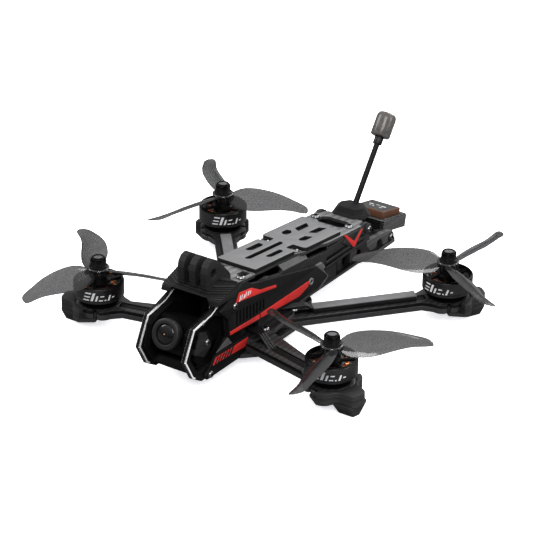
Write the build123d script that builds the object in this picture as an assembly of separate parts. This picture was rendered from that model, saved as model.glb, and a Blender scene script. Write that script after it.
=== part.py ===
from build123d import *
import math
import os

# FPV racing drone.  Millimetres, +Z up.  The nose points along -Y and the left side is +X.
# Origin: on the floor, under the centre of the rectangle that the four motor axes make.

# ---- driving dimensions ----------------------------------------------------------------
MOTOR_X = 76.0              # motor axis to the middle plane
MOTOR_Y = 58.6              # motor axis to the cross axis
BELL_OD = 27.8
BELL_TOP = 27.0
BELL_BOTTOM = 17.7
BASE_TOP = 17.3
ARM_TOP = 13.5
ARM_BOTTOM = 8.5
ARM_HALF_WIDTH = 6.0
ARM_PAD_R = 10.6
GUARD_TOP = 13.2
GUARD_BOTTOM = 6.4
MOTOR_BOLT_R = 8.0          # M3 bolts, 16 x 16 pattern
SHAFT_R = 2.0
STUD_R = 2.5
PROP_BOTTOM = 29.0
PROP_TOP = 34.5
NUT_TOP = 40.5
PROP_R = 53.3
FRONT_ROOT_Y = -40.4        # where the front arms' centre lines meet
REAR_ROOT_Y = -32.0         # where the rear arms' centre lines meet

BOTTOM_Z0, BOTTOM_Z1 = 6.0, 8.5
MID_Z0, MID_Z1 = 13.5, 15.5

DECK_TILT = 6.17            # top plate falls to the rear, degrees
DECK_ORIGIN = (0, 5.5, 44.7)
PAD_T = 2.2
DECK_T = 2.0

WALL_IN, WALL_OUT = 13.5, 16.0
PANEL_IN, PANEL_OUT = 16.0, 18.0

CAM_PIVOT = (0, -85.9, 28.4)
CAM_TILT = 20.0             # lens axis above level
CAM_HALF = 10.0

SCREW_R = 1.5
HEAD_R = 2.8
HOLE_R = 1.6

BLADE_ANGLES = {            # blade direction, degrees from +X, and turning sense
    "front_right": (13.9, -1),
    "rear_right": (18.1, 1),
    "rear_left": (81.9, -1),
    "front_left": (46.4, 1),
}
CORNERS = {
    "front_left": (1, -1),
    "front_right": (-1, -1),
    "rear_left": (1, 1),
    "rear_right": (-1, 1),
}

os.makedirs("parts", exist_ok=True)
WRITTEN = []

LOW = (Align.CENTER, Align.CENTER, Align.MIN)
DECK = Location(DECK_ORIGIN, (-DECK_TILT, 0, 0))


# ---- helpers ---------------------------------------------------------------------------
def save(name, *solids):
    """Write one node; several solids become one group."""
    flat = []
    for item in solids:
        flat.extend(item.solids())
    shape = flat[0] if len(flat) == 1 else Compound(children=flat)
    shape.label = name
    export_step(shape, f"parts/{name}.step")
    WRITTEN.append(name)


def prism_z(points, z0, z1):
    face = make_face(Polyline([(x, y, z0) for x, y in points], close=True))
    return extrude(face, amount=z1 - z0, dir=(0, 0, 1))


def prism_x(points, x0, x1):
    face = make_face(Polyline([(x0, y, z) for y, z in points], close=True))
    return extrude(face, amount=x1 - x0, dir=(1, 0, 0))


def prism_y(points, y0, y1):
    face = make_face(Polyline([(x, y0, z) for x, z in points], close=True))
    return extrude(face, amount=y1 - y0, dir=(0, 1, 0))


def rod(radius, z0, z1, x=0.0, y=0.0):
    return Pos(x, y, z0) * Cylinder(radius, z1 - z0, align=LOW)


def tube(outer, inner, z0, z1):
    return rod(outer, z0, z1) - rod(inner, z0 - 1, z1 + 1)


def rod_x(radius, x0, x1, y, z):
    return Pos(x0, y, z) * Rot(0, 90, 0) * Cylinder(radius, x1 - x0, align=LOW)


def mirror_outline(half):
    """Close an outline given for x >= 0, from front to rear, about the middle plane."""
    return list(half) + [(-x, y) for x, y in reversed(half) if abs(x) > 1e-6]


def flip(shape):
    return mirror(shape, about=Plane.YZ)


def deck_z(y, below=0.0):
    """Height of the tilted deck surface, measured square to it, at a given y."""
    t = math.radians(DECK_TILT)
    return DECK_ORIGIN[2] - below / math.cos(t) - math.tan(t) * (y - DECK_ORIGIN[1])


def button_screw(length, radius=SCREW_R, head=HEAD_R, height=1.65):
    """Button-head screw, head seat at z = 0, shank down, with a hex socket."""
    cap = Cylinder(head, height, align=LOW)
    cap = fillet(cap.edges().group_by(Axis.Z)[-1], height * 0.55)
    socket = Pos(0, 0, 0.5) * extrude(RegularPolygon(1.15, 6), amount=3)
    return cap - socket + Pos(0, 0, -length) * Cylinder(radius, length, align=LOW)


def arm_frame(name):
    """Point at the motor axis, unit vector towards the hub, and the root's y."""
    sx, sy = CORNERS[name]
    root_y = FRONT_ROOT_Y if sy < 0 else REAR_ROOT_Y
    dx, dy = -sx * MOTOR_X, root_y - sy * MOTOR_Y
    n = math.hypot(dx, dy)
    return (sx * MOTOR_X, sy * MOTOR_Y), (dx / n, dy / n), n


# ---- screw places ----------------------------------------------------------------------
DECK_SCREWS = [(10.8, -53.0), (9.7, 0.0), (11.2, 53.0)]      # x, distance along the deck
HUB_SCREWS = [(19.4, -36.5), (19.4, -8.9)]                   # x, y
TAIL_SCREWS = [(14.4, 96.6)]
PANEL_SCREWS = [(-63.1, 40.5), (10.9, 23.8)]                 # y, z
WALL_SCREWS = [(50.5, 33.6), (68.6, 31.0)]
RAIL_SCREW = (-84.6, 9.6)


# ---- motor and propeller ---------------------------------------------------------------
def motor_base():
    body = rod(12.6, ARM_TOP, BASE_TOP)
    body = chamfer(body.edges().group_by(Axis.Z)[0], 1.0)
    body += rod(5.5, ARM_TOP, 24.4)
    for k in range(4):
        a = math.radians(45 + 90 * k + 45)
        cut = rod(2.2, ARM_TOP - 1, BASE_TOP + 1, 10.6 * math.cos(a), 10.6 * math.sin(a))
        body -= cut
    for k in range(4):
        a = math.radians(45 + 90 * k)
        x, y = MOTOR_BOLT_R * math.cos(a), MOTOR_BOLT_R * math.sin(a)
        body -= rod(SCREW_R, ARM_TOP - 1, 16.2, x, y)
    return body - rod(4.5, ARM_TOP - 1, 25)


def bearings():
    return [tube(4.5, SHAFT_R + 0.03, z, z + 4.0) for z in (14.0, 20.2)]


def stator():
    core = tube(6.6, 5.5, 18.4, 23.6)
    for k in range(12):
        tooth = Pos(0, 0, 18.4) * Rot(0, 0, 30 * k) * Pos(8.0, 0, 0) * Box(3.6, 1.2, 5.2, align=LOW)
        shoe = Pos(0, 0, 18.4) * Rot(0, 0, 30 * k) * Pos(9.9, 0, 0) * Box(0.9, 3.6, 5.2, align=LOW)
        core += tooth + shoe
    return core


def coils():
    made = []
    for k in range(12):
        ring = Box(2.5, 2.6, 6.4, align=LOW) - Pos(0, 0, 0.6) * Box(4, 1.2, 5.2, align=LOW)
        ring = fillet(ring.edges().filter_by(Axis.X).group_by(Axis.Z)[-1], 0.5)
        made.append(Pos(0, 0, 17.8) * Rot(0, 0, 30 * k) * Pos(8.15, 0, 0) * ring)
    return made


def bell():
    profile = [
        (12.0, BELL_BOTTOM), (13.5, BELL_BOTTOM), (13.9, 18.1), (13.9, 26.5), (13.4, BELL_TOP),
        (12.4, BELL_TOP), (5.2, 27.5), (4.6, 28.2), (4.6, PROP_BOTTOM), (SHAFT_R, PROP_BOTTOM),
        (SHAFT_R, 25.0), (12.0, 25.0),
    ]
    face = make_face(Polyline([(r, 0, z) for r, z in profile], close=True))
    body = revolve(face, Axis.Z)
    for k in range(6):
        blade = prism_z([(5.6, -1.0), (11.7, -4.7), (12.6, 0), (11.7, 4.7), (5.6, 1.0)], 24, 29)
        window = (Rot(0, 0, 60 * k) * blade) & tube(11.7, 5.6, 24, 29)
        body -= window
    return body


def magnets():
    made = []
    ring = tube(12.0, 10.85, 18.2, 24.6)
    for k in range(14):
        a = 360 / 14 * k
        wedge = Rot(0, 0, a) * prism_z([(9, -2.0), (13, -2.6), (13, 2.6), (9, 2.0)], 18.0, 25.0)
        made.append(ring & wedge)
    return made


def shaft():
    return rod(SHAFT_R, 14.0, PROP_BOTTOM) + rod(STUD_R, PROP_BOTTOM, 40.1)


def prop_nut():
    hexagon = Pos(0, 0, PROP_TOP + 1.1) * extrude(RegularPolygon(4.5, 6), amount=NUT_TOP - PROP_TOP - 1.1)
    cap = hexagon & rod(4.35, PROP_TOP, NUT_TOP)
    cap = cap + rod(5.0, PROP_TOP, PROP_TOP + 1.1)
    return cap - rod(STUD_R, PROP_TOP - 1, NUT_TOP + 1)


# radius, chord, pitch in degrees, chord centre along the turning direction, height
BLADE_SECTIONS = [
    (6.0, 11.0, 33.3, 0.0, 31.4),
    (12.0, 15.0, 32.8, 0.2, 32.3),
    (18.0, 16.4, 30.6, -0.2, 32.4),
    (24.0, 15.8, 26.7, -0.2, 32.7),
    (30.0, 13.8, 26.0, -0.4, 32.8),
    (36.0, 11.4, 24.3, -0.5, 32.8),
    (42.0, 8.9, 21.1, -1.6, 32.6),
    (48.0, 8.3, 13.6, -2.8, 31.9),
    (PROP_R - 0.7, 3.6, 13.0, -5.2, 31.7),
]


def blade_section(radius, chord, pitch, lead, height):
    t = 1.9 - 1.15 * radius / PROP_R
    outline = [
        (-0.5, 0.0), (-0.25, 0.55), (0.1, 0.95), (0.35, 0.8), (0.47, 0.35),
        (0.5, 0.0), (0.35, -0.25), (0.0, -0.12), (-0.3, -0.1),
    ]
    p = math.radians(pitch)
    points = []
    for u, w in outline:
        along, up = u * chord, w * t / 1.2
        y = lead + along * math.cos(p) - up * math.sin(p)
        z = height + along * math.sin(p) + up * math.cos(p)
        points.append((radius, y, z))
    return make_face(Polyline(points, close=True))


def propeller(sense):
    blade = loft([blade_section(*row) for row in BLADE_SECTIONS], ruled=True)
    hub = rod(6.2, PROP_BOTTOM, PROP_TOP)
    hub = fillet(hub.edges().group_by(Axis.Z)[-1], 0.8)
    for k in range(3):
        hub += Rot(0, 0, 120 * k) * blade
    hub -= rod(STUD_R, PROP_BOTTOM - 1, PROP_TOP + 1)
    return hub if sense > 0 else mirror(hub, about=Plane.XZ)


# ---- arms ------------------------------------------------------------------------------
def arm(name):
    (mx, my), (dx, dy), length = arm_frame(name)
    nx, ny = -dy, dx
    sx, sy = CORNERS[name]
    if sy < 0:
        roots = [(22.0, -33.2), (3.2, -33.2), (3.2, -50.0), (21.0, -52.4)]
        stop = 53.0
    else:
        roots = [(9.0, -32.4), (3.2, -32.4), (3.2, -17.6)]
        stop = 100.0
    near = (mx + dx * stop, my + dy * stop)
    side_a = (nx * ARM_HALF_WIDTH, ny * ARM_HALF_WIDTH)
    a0 = (mx + side_a[0], my + side_a[1])
    b0 = (mx - side_a[0], my - side_a[1])
    a1 = (near[0] + side_a[0], near[1] + side_a[1])
    b1 = (near[0] - side_a[0], near[1] - side_a[1])
    placed = [(sx * x, y) for x, y in roots]
    # the root outline starts on the side that faces it
    if math.dist(a1, placed[0]) > math.dist(b1, placed[0]):
        a0, b0, a1, b1 = b0, a0, b1, a1
    body = prism_z([a0, a1] + placed + [b1, b0], ARM_BOTTOM, ARM_TOP)
    body += rod(ARM_PAD_R, ARM_BOTTOM, ARM_TOP, mx, my)
    # wire channel along the top
    c0 = (mx + dx * 12.8, my + dy * 12.8)
    c1 = (mx + dx * (length - 20), my + dy * (length - 20))
    w = 2.6
    channel = prism_z(
        [
            (c0[0] + nx * w, c0[1] + ny * w), (c1[0] + nx * w, c1[1] + ny * w),
            (c1[0] - nx * w, c1[1] - ny * w), (c0[0] - nx * w, c0[1] - ny * w),
        ],
        ARM_TOP - 2.0, ARM_TOP + 1,
    )
    body -= channel
    body -= rod(3.4, ARM_BOTTOM - 1, ARM_TOP + 1, mx, my)
    for k in range(4):
        a = math.radians(45 + 90 * k)
        x, y = MOTOR_BOLT_R * math.cos(a), MOTOR_BOLT_R * math.sin(a)
        body -= rod(HOLE_R, ARM_BOTTOM - 1, ARM_TOP + 1, mx + x, my + y)
    for x, y in HUB_SCREWS:
        body -= rod(HOLE_R, ARM_BOTTOM - 1, ARM_TOP + 1, sx * x, y)
    return body


def light_strip(sx):
    name = "rear_left" if sx > 0 else "rear_right"
    (mx, my), (dx, dy), length = arm_frame(name)
    nx, ny = -dy, dx
    a, b, w = 18.7, 72.0, 3.4
    p = [(mx + dx * s + nx * o, my + dy * s + ny * o) for s, o in ((a, w), (b, w), (b, -w), (a, -w))]
    body = prism_z(p, ARM_TOP, ARM_TOP + 3.2)
    return chamfer(body.edges().group_by(Axis.Z)[-1], 1.2)


def wires(name):
    (mx, my), (dx, dy), length = arm_frame(name)
    nx, ny = -dy, dx
    if CORNERS[name][1] < 0:
        stations = [(13.2, 12.35), (45.5, 12.35), (53.0, 18.1), (65.0, 18.1)]
    else:
        stations = [(13.2, 12.35), (73.5, 12.35), (81.5, 18.1), (98.5, 18.1)]
    made = []
    for o in (-1.65, 0.0, 1.65):
        pts = [(mx + dx * s + nx * o, my + dy * s + ny * o, z) for s, z in stations]
        path = FilletPolyline(*pts, radius=4.5)
        start = Plane(origin=pts[0], z_dir=(dx, dy, 0))
        made.append(sweep(start * Circle(0.78), path=path))
    return made


GUARD_OUTLINE = [
    # outward and rearward of the motor axis, rear corner; mirrored for the others
    (11.0, 18.4), (14.0, 17.0), (16.4, 14.3), (15.4, 10.5), (16.8, 6.0), (16.4, 0.0),
    (17.6, -6.0), (20.2, -10.5), (20.2, -14.6), (15.6, -15.6), (11.5, -15.0), (8.8, -16.8),
    (3.0, -17.6), (-1.2, -17.3), (-4.0, -14.0), (-9.0, -12.0), (-12.5, -8.0), (-13.4, 0.0),
    (-12.5, 7.0), (-9.0, 12.0), (-4.5, 14.5), (-1.0, 17.3), (4.0, 18.0), (7.4, 16.2),
]


def arm_guard(name):
    (mx, my), (dx, dy), length = arm_frame(name)
    sx, sy = CORNERS[name]
    pts = [(mx + sx * x, my + sy * y) for x, y in GUARD_OUTLINE]
    body = prism_z(pts, GUARD_BOTTOM, GUARD_TOP)
    body = chamfer(body.edges().group_by(Axis.Z)[0], 0.8)
    for x, y, r in ((14.6, -10.4, 4.6), (11.2, 13.4, 3.6)):
        foot = Pos(mx + sx * x, my + sy * y, 0) * Cone(r - 1.2, r, GUARD_BOTTOM + 1.0, align=LOW)
        body += foot
    # pocket for the arm end, open towards the hub
    nx, ny = -dy, dx
    w = ARM_HALF_WIDTH + 0.05
    pocket = rod(ARM_PAD_R + 0.05, ARM_BOTTOM, ARM_TOP + 1, mx, my)
    way = [(mx + dx * s + nx * o, my + dy * s + ny * o) for s, o in ((0, w), (30, w), (30, -w), (0, -w))]
    pocket += prism_z(way, ARM_BOTTOM - 3, ARM_TOP + 1)
    body -= pocket
    body -= rod(3.4, 0, ARM_BOTTOM + 1, mx, my)
    for k in range(4):
        a = math.radians(45 + 90 * k)
        x, y = MOTOR_BOLT_R * math.cos(a), MOTOR_BOLT_R * math.sin(a)
        body -= rod(HEAD_R + 0.1, 0, ARM_BOTTOM + 1, mx + x, my + y)
    # only the largest piece, if the channel splits a sliver off
    return sorted(body.solids(), key=lambda s: s.volume)[-1]


def motor_screws(name):
    sx, sy = CORNERS[name]
    made = []
    for k in range(4):
        a = math.radians(45 + 90 * k)
        x = sx * MOTOR_X + MOTOR_BOLT_R * math.cos(a)
        y = sy * MOTOR_Y + MOTOR_BOLT_R * math.sin(a)
        made.append(Pos(x, y, ARM_BOTTOM) * Rot(180, 0, 0) * button_screw(7.4))
    return made


for corner, (sx, sy) in CORNERS.items():
    place = Pos(sx * MOTOR_X, sy * MOTOR_Y, 0)
    angle, sense = BLADE_ANGLES[corner]
    save(f"arm_{corner}", arm(corner))
    save(f"arm_guard_{corner}", arm_guard(corner))
    save(f"motor_base_{corner}", place * motor_base())
    save(f"motor_bell_{corner}", place * Rot(0, 0, angle) * bell())
    save(f"magnets_{corner}", *[place * Rot(0, 0, angle) * m for m in magnets()])
    save(f"motor_shaft_{corner}", place * shaft())
    save(f"propeller_{corner}", place * Rot(0, 0, angle) * propeller(sense))
    save(f"prop_nut_{corner}", place * Rot(0, 0, angle) * prop_nut())

PLACES = [Pos(sx * MOTOR_X, sy * MOTOR_Y, 0) for sx, sy in CORNERS.values()]
save("stators", *[p * stator() for p in PLACES])
save("windings", *[p * c for p in PLACES for c in coils()])
save("bearings", *[p * b for p in PLACES for b in bearings()])
save("motor_screws", *[s for corner in CORNERS for s in motor_screws(corner)])
save("motor_wires", *[w for corner in CORNERS for w in wires(corner)])
save("light_strips", light_strip(1), light_strip(-1))


# ---- plates ----------------------------------------------------------------------------
def drill(body, places, z0, z1, radius=HOLE_R):
    for x, y in places:
        for s in (1, -1):
            body -= rod(radius, z0 - 1, z1 + 1, s * x, y)
    return body


bottom_half = [
    (0, -57.0), (17.0, -57.0), (23.8, -50.0), (23.8, -6.0), (16.0, 4.0), (13.4, 10.0),
    (13.4, 18.0), (11.0, 20.4), (0, 20.4),
]
bottom_plate = prism_z(mirror_outline(bottom_half), BOTTOM_Z0, BOTTOM_Z1)
bottom_plate = drill(bottom_plate, HUB_SCREWS, BOTTOM_Z0, BOTTOM_Z1)
save("bottom_plate", bottom_plate)

mid_half = [
    (0, -57.0), (13.0, -57.0), (13.0, -51.8), (20.6, -50.0), (24.0, -34.0), (22.4, -14.4), (16.8, -1.0),
    (15.8, 10.0), (15.8, 62.0), (18.0, 69.0), (17.6, 98.0), (16.0, 100.2), (12.6, 100.2),
    (11.2, 98.0), (11.2, 78.0), (9.0, 75.0), (0, 75.0),
]
mid_plate = prism_z(mirror_outline(mid_half), MID_Z0, MID_Z1)
mid_plate = drill(mid_plate, HUB_SCREWS + TAIL_SCREWS, MID_Z0, MID_Z1)
mid_plate -= Pos(0, -44, MID_Z0) * Box(9, 8, 8)
save("mid_plate", mid_plate)

deck_half = [
    (0, -65.6), (9.0, -65.6), (13.3, -60.6), (13.3, -2.6), (16.2, 3.5), (16.2, 40.0),
    (15.4, 46.0), (15.4, 58.0), (12.2, 62.0), (0, 62.0),
]


def slot(points):
    return make_face(Polyline(points, close=True))


def round_cut(radius, x, y):
    return Pos(x, y) * Circle(radius)


deck_slots = [
    slot([(-8.6, -21.2), (-6.6, -21.2), (-4.9, -19.0), (-4.9, -9.6), (-6.0, -8.2), (-8.6, -8.2)]),
    slot([(-1.4, -32.0), (0.2, -32.0), (1.4, -30.4), (1.4, 0.4), (0.2, 2.0), (-1.4, 2.0)]),
    slot([(5.2, -21.8), (6.8, -21.8), (8.2, -20.0), (8.2, -9.6), (7.0, -8.2), (5.2, -8.2)]),
    slot([(-8.9, 15.2), (-6.4, 14.6), (-4.8, 16.0), (-4.8, 18.4), (-7.0, 19.0), (-8.9, 17.8)]),
    slot([(-6.8, 25.0), (-3.0, 22.6), (-3.0, 33.0), (-6.8, 36.6)]),
    slot([(2.2, 24.6), (6.0, 27.4), (6.0, 38.0), (2.2, 35.4)]),
    slot([(4.0, 12.4), (5.8, 11.0), (7.8, 13.4), (7.8, 21.0), (4.0, 18.8)]),
]
deck_face = slot(mirror_outline(deck_half))
pad_face = slot(
    [(-12.6, -42.0), (12.6, -42.0), (12.6, -4.4), (12.0, -3.3), (6.2, -3.3), (6.2, 3.3),
     (13.0, 3.3), (14.6, 4.8), (14.6, 39.4), (-14.2, 44.2), (-14.6, 43.6), (-14.6, 4.8), (-13.0, 3.3),
     (-6.2, 3.3), (-6.2, -3.3), (-12.0, -3.3), (-12.6, -4.4)]
)
for cut in deck_slots:
    pad_face -= cut
    deck_face -= cut
rear_slot = slot([(-8.4, 51.0), (-5.6, 48.6), (5.6, 48.6), (8.4, 51.0), (8.4, 55.0), (5.6, 57.4),
                  (-5.6, 57.4), (-8.4, 55.0)])
deck_face -= rear_slot
deck_face -= Pos(0, -53.0) * Rectangle(5.4, 4.8)
for x, v in DECK_SCREWS:
    for s in (1, -1):
        deck_face -= round_cut(HOLE_R, s * x, v)
top_plate = extrude(Pos(0, 0, -PAD_T - DECK_T) * deck_face, amount=DECK_T, dir=(0, 0, 1))
battery_pad = extrude(Pos(0, 0, -PAD_T) * pad_face, amount=PAD_T, dir=(0, 0, 1))
save("top_plate", DECK * top_plate)
save("battery_pad", DECK * sorted(battery_pad.solids(), key=lambda s: s.volume)[-1])


# ---- sides -----------------------------------------------------------------------------
def camera_plate():
    outline = [
        (-58.0, 7.0), (-58.0, 15.6), (-50.0, 15.6), (-50.0, 22.0), (-46.2, 22.0), (-46.2, 45.9),
        (-58.0, 47.2), (-60.8, 47.5), (-61.6, 51.3), (-77.5, 44.8), (-87.5, 41.7), (-96.7, 40.0),
        (-104.8, 24.1), (-98.1, 11.9), (-90.0, 7.0),
    ]
    body = prism_x(outline, WALL_IN, WALL_OUT)
    window = [
        (-97.2, 35.0), (-93.6, 37.2), (-78.5, 40.6), (-70.5, 37.0), (-68.5, 24.0), (-78.0, 14.6),
        (-93.5, 13.8), (-99.8, 23.6),
    ]
    body -= prism_x(window, WALL_IN - 1, WALL_OUT + 1)
    body -= rod_x(HOLE_R, WALL_IN - 1, WALL_OUT + 1, *PANEL_SCREWS[0])
    body -= rod_x(HOLE_R, WALL_IN - 1, WALL_OUT + 1, *RAIL_SCREW)
    # lower rail along the foot of the plate
    rail = prism_x([(-88.0, 7.0), (-57.4, 7.4), (-57.4, 8.7), (-52.4, 8.7), (-52.4, 16.2), (-80.2, 17.8),
                    (-84.6, 13.4), (-88.6, 11.0)], WALL_OUT, WALL_OUT + 1.6)
    rail -= rod_x(HOLE_R, WALL_OUT - 1, WALL_OUT + 3, *RAIL_SCREW)
    body += rail
    return body


def side_wall():
    below = PAD_T + DECK_T + 0.02
    top = [(-45.9, deck_z(-45.9, below)), (71.0, deck_z(71.0, below))]
    outline = [
        (-45.9, top[0][1]), (-45.9, 22.0), (-38.0, 22.0), (-38.0, 15.5), (-20.8, 15.5), (-20.8, 19.8),
        (-8.6, 19.8), (-8.6, 15.5), (66.5, 15.5), (74.0, 19.0), (74.0, 26.0), (71.0, 30.6),
        (71.0, top[1][1]),
    ]
    body = prism_x(outline, WALL_IN, WALL_OUT)
    gap = [(6.0, 39.0), (10.5, 32.5), (30.5, 32.5), (26.0, 37.5)]
    body -= prism_x(gap, WALL_IN - 1, WALL_OUT + 1)
    window = [(40.5, 23.2), (39.0, 18.2), (57.0, 18.2), (61.5, 23.2)]
    body -= prism_x(window, WALL_IN - 1, WALL_OUT + 1)
    # two long ribs and the tail block
    for z in (26.6, 29.6):
        body += prism_x([(29.0, z), (66.0, z - 2.4), (66.0, z - 1.2), (29.0, z + 1.2)], WALL_OUT, WALL_OUT + 0.9)
    body += prism_x([(46.0, 31.0), (64.0, 29.6), (65.6, 33.0), (46.0, 35.6)], WALL_OUT, WALL_OUT + 0.7)
    for place in [PANEL_SCREWS[1]] + WALL_SCREWS:
        body -= rod_x(HOLE_R, WALL_IN - 1, WALL_OUT + 2, *place)
    return body


def side_panel():
    outline = [
        (-76.2, 42.1), (-68.3, 34.6), (-67.5, 24.4), (-40.0, 21.9), (-0.9, 18.4), (26.3, 20.4),
        (15.6, 31.5), (-34.8, 43.8), (-46.4, 46.7), (-52.6, 50.6), (-55.0, 50.8),
    ]
    body = prism_x(outline, PANEL_IN, PANEL_OUT)
    body = chamfer(body.edges().group_by(Axis.X)[-1], 0.5)
    for k in range(9):
        y = -61.2 + 3.1 * k
        zt = 36.4 - 0.42 * k
        zb = 27.8 - 0.12 * k
        body -= prism_x([(y - 0.55, zb), (y + 0.95, zb), (y + 0.75, zt), (y - 0.75, zt)],
                        PANEL_IN + 0.7, PANEL_OUT + 1)
    for place in PANEL_SCREWS:
        body -= rod_x(HOLE_R, PANEL_IN - 1, PANEL_OUT + 1, *place)
    # raised stripe along the lower edge
    stripe = prism_x([(-67.0, 24.7), (-67.4, 27.6), (7.6, 26.0), (6.6, 23.0)], PANEL_OUT - 0.2, PANEL_OUT + 0.35)
    return body + stripe


for side, hand in (("left", lambda s: s), ("right", flip)):
    save(f"camera_plate_{side}", hand(camera_plate()))
    save(f"side_wall_{side}", hand(side_wall()))
    save(f"side_panel_{side}", hand(side_panel()))


# ---- nose mount with three fingers -----------------------------------------------------
def nose_mount():
    t0 = deck_z(-56.4, PAD_T - 0.05)
    t1 = deck_z(-60.9, PAD_T - 0.05)
    side = [
        (-77.6, 44.95), (-79.8, 46.4), (-80.9, 55.6), (-77.0, 57.0), (-54.4, 53.6), (-56.4, t0),
        (-60.9, t1), (-61.4, 51.5),
    ]
    body = prism_x(side, -18.2, 18.2)
    front = [(-18.2, 40), (-18.2, 50.6), (-9.4, 57.5), (9.4, 57.5), (18.2, 50.6), (18.2, 40)]
    body = body & prism_y(front, -90, -50)
    arch = prism_y([(-12.6, 40), (-11.6, 51.2), (11.6, 51.2), (12.6, 40)], -90, -64.5)
    body -= arch
    finger = [
        (-80.6, 54.5), (-78.6, 61.0), (-76.6, 65.8), (-73.4, 68.4), (-69.6, 67.8), (-65.6, 64.3),
        (-54.6, 53.5), (-60.0, 51.8),
    ]
    for x in (-7.3, 0.0, 7.3):
        body += prism_x(finger, x - 2.0, x + 2.0)
    body -= rod_x(2.5, -20, 20, -69.9, 59.6)
    for s in (1, -1):
        local = DECK * Pos(s * DECK_SCREWS[0][0], DECK_SCREWS[0][1], 0) * rod(HEAD_R + 0.3, -6, 30)
        body -= local
        edge = prism_x([(-61.7, 40.0), (-61.7, 51.4), (-50.0, 51.4), (-50.0, 40.0)], 15.9, 20.0)
        body -= edge if s > 0 else flip(edge)
    return body


save("nose_mount", sorted(nose_mount().solids(), key=lambda s: s.volume)[-1])


# ---- camera ----------------------------------------------------------------------------
TILT = Location(CAM_PIVOT, (-CAM_TILT, 0, 0))     # local -Y is the lens axis


def camera_body():
    body = Box(2 * CAM_HALF, 15.0, 19.0)
    body = chamfer(body.edges().filter_by(Axis.Y), 1.6)
    body += Pos(0, -7.9, 0) * Rot(90, 0, 0) * Cylinder(8.4, 1.4)
    body += Pos(0, 8.6, 0) * Box(14, 3.0, 13)
    body -= Pos(0, -8, 0) * Rot(90, 0, 0) * Cylinder(6.0, 6.0)
    for s in (1, -1):
        body -= Pos(s * CAM_HALF, 0, 0) * Rot(0, 90, 0) * Cylinder(SCREW_R + 0.05, 8.0)
    return TILT * body


def camera_lens():
    barrel = [
        (0, -5.0), (6.0, -5.0), (6.0, -10.5), (6.9, -11.2), (6.9, -13.4), (7.8, -13.8), (7.8, -15.4),
        (7.2, -15.9), (5.6, -15.9), (5.2, -14.6), (0, -14.6),
    ]
    face = make_face(Polyline([(r, y, 0) for r, y in barrel], close=True))
    housing = revolve(face, Axis.Y)
    glass_face = make_face(Polyline([(0, -14.6, 0), (5.2, -14.6, 0), (4.4, -15.2, 0), (2.6, -15.7, 0),
                                     (0, -15.85, 0)], close=True))
    glass = revolve(glass_face, Axis.Y)
    return TILT * housing, TILT * glass


def camera_mount():
    y, z = CAM_PIVOT[1], CAM_PIVOT[2]
    flange = prism_x([(-97.6, 36.0), (-93.4, 38.4), (-78.0, 41.6), (-69.8, 37.6), (-70.6, 26.0), (-79.0, 16.4),
                      (-94.0, 15.4), (-100.2, 23.8)], CAM_HALF + 0.35, WALL_IN)
    boss = prism_x([(-95.6, 21.0), (-94.6, 31.0), (-90.6, 35.6), (-83.0, 34.0), (-79.4, 26.0), (-83.4, 19.4),
                    (-92.0, 17.2)], WALL_IN, WALL_IN + 1.9)
    return flange + boss - rod_x(SCREW_R, CAM_HALF, WALL_OUT, y, z)


save("camera_body", camera_body())
save("camera_lens", *camera_lens())
save("camera_mounts", camera_mount(), flip(camera_mount()))


# ---- electronics -----------------------------------------------------------------------
def flight_controller():
    board = Pos(0, -29.0, 20.0) * Box(26.0, 27.0, 1.6, align=LOW)
    for sx in (1, -1):
        for sy in (1, -1):
            board += rod(2.4, MID_Z1, 20.2, sx * 9.0, -29.0 + sy * 10.0)
    board += Pos(-3.0, -31.0, 21.6) * Box(8, 8, 1.2, align=LOW)
    board += Pos(6.0, -25.0, 21.6) * Box(5, 5, 1.0, align=LOW)
    board += Pos(0.0, -18.0, 21.6) * Box(12, 4, 3.4, align=LOW)
    return board


def air_unit():
    body = Pos(0, 30.0, MID_Z1) * Box(25.0, 33.0, 11.0, align=LOW)
    body = chamfer(body.edges().filter_by(Axis.Z), 1.5)
    for k in range(7):
        body -= Pos(0, 18.0 + 4.0 * k, MID_Z1 + 8.6) * Box(21.0, 1.6, 5.0, align=LOW)
    return body


save("flight_controller", flight_controller())
save("air_unit", air_unit())


# ---- tail ------------------------------------------------------------------------------
MAST_FOOT = (0, 81.0, 37.4)
MAST_TOP = (0, 106.4, 72.1)
CAP_LENGTH = 14.5


def along(a, b, radius, start=0.0, extra=0.0):
    """Rod from point a to point b, moved on by start and lengthened by extra."""
    d = Vector(*b) - Vector(*a)
    plane = Plane(origin=Vector(*a) + d.normalized() * start, z_dir=d)
    return plane * Cylinder(radius, d.length - start + extra, align=LOW)


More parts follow.
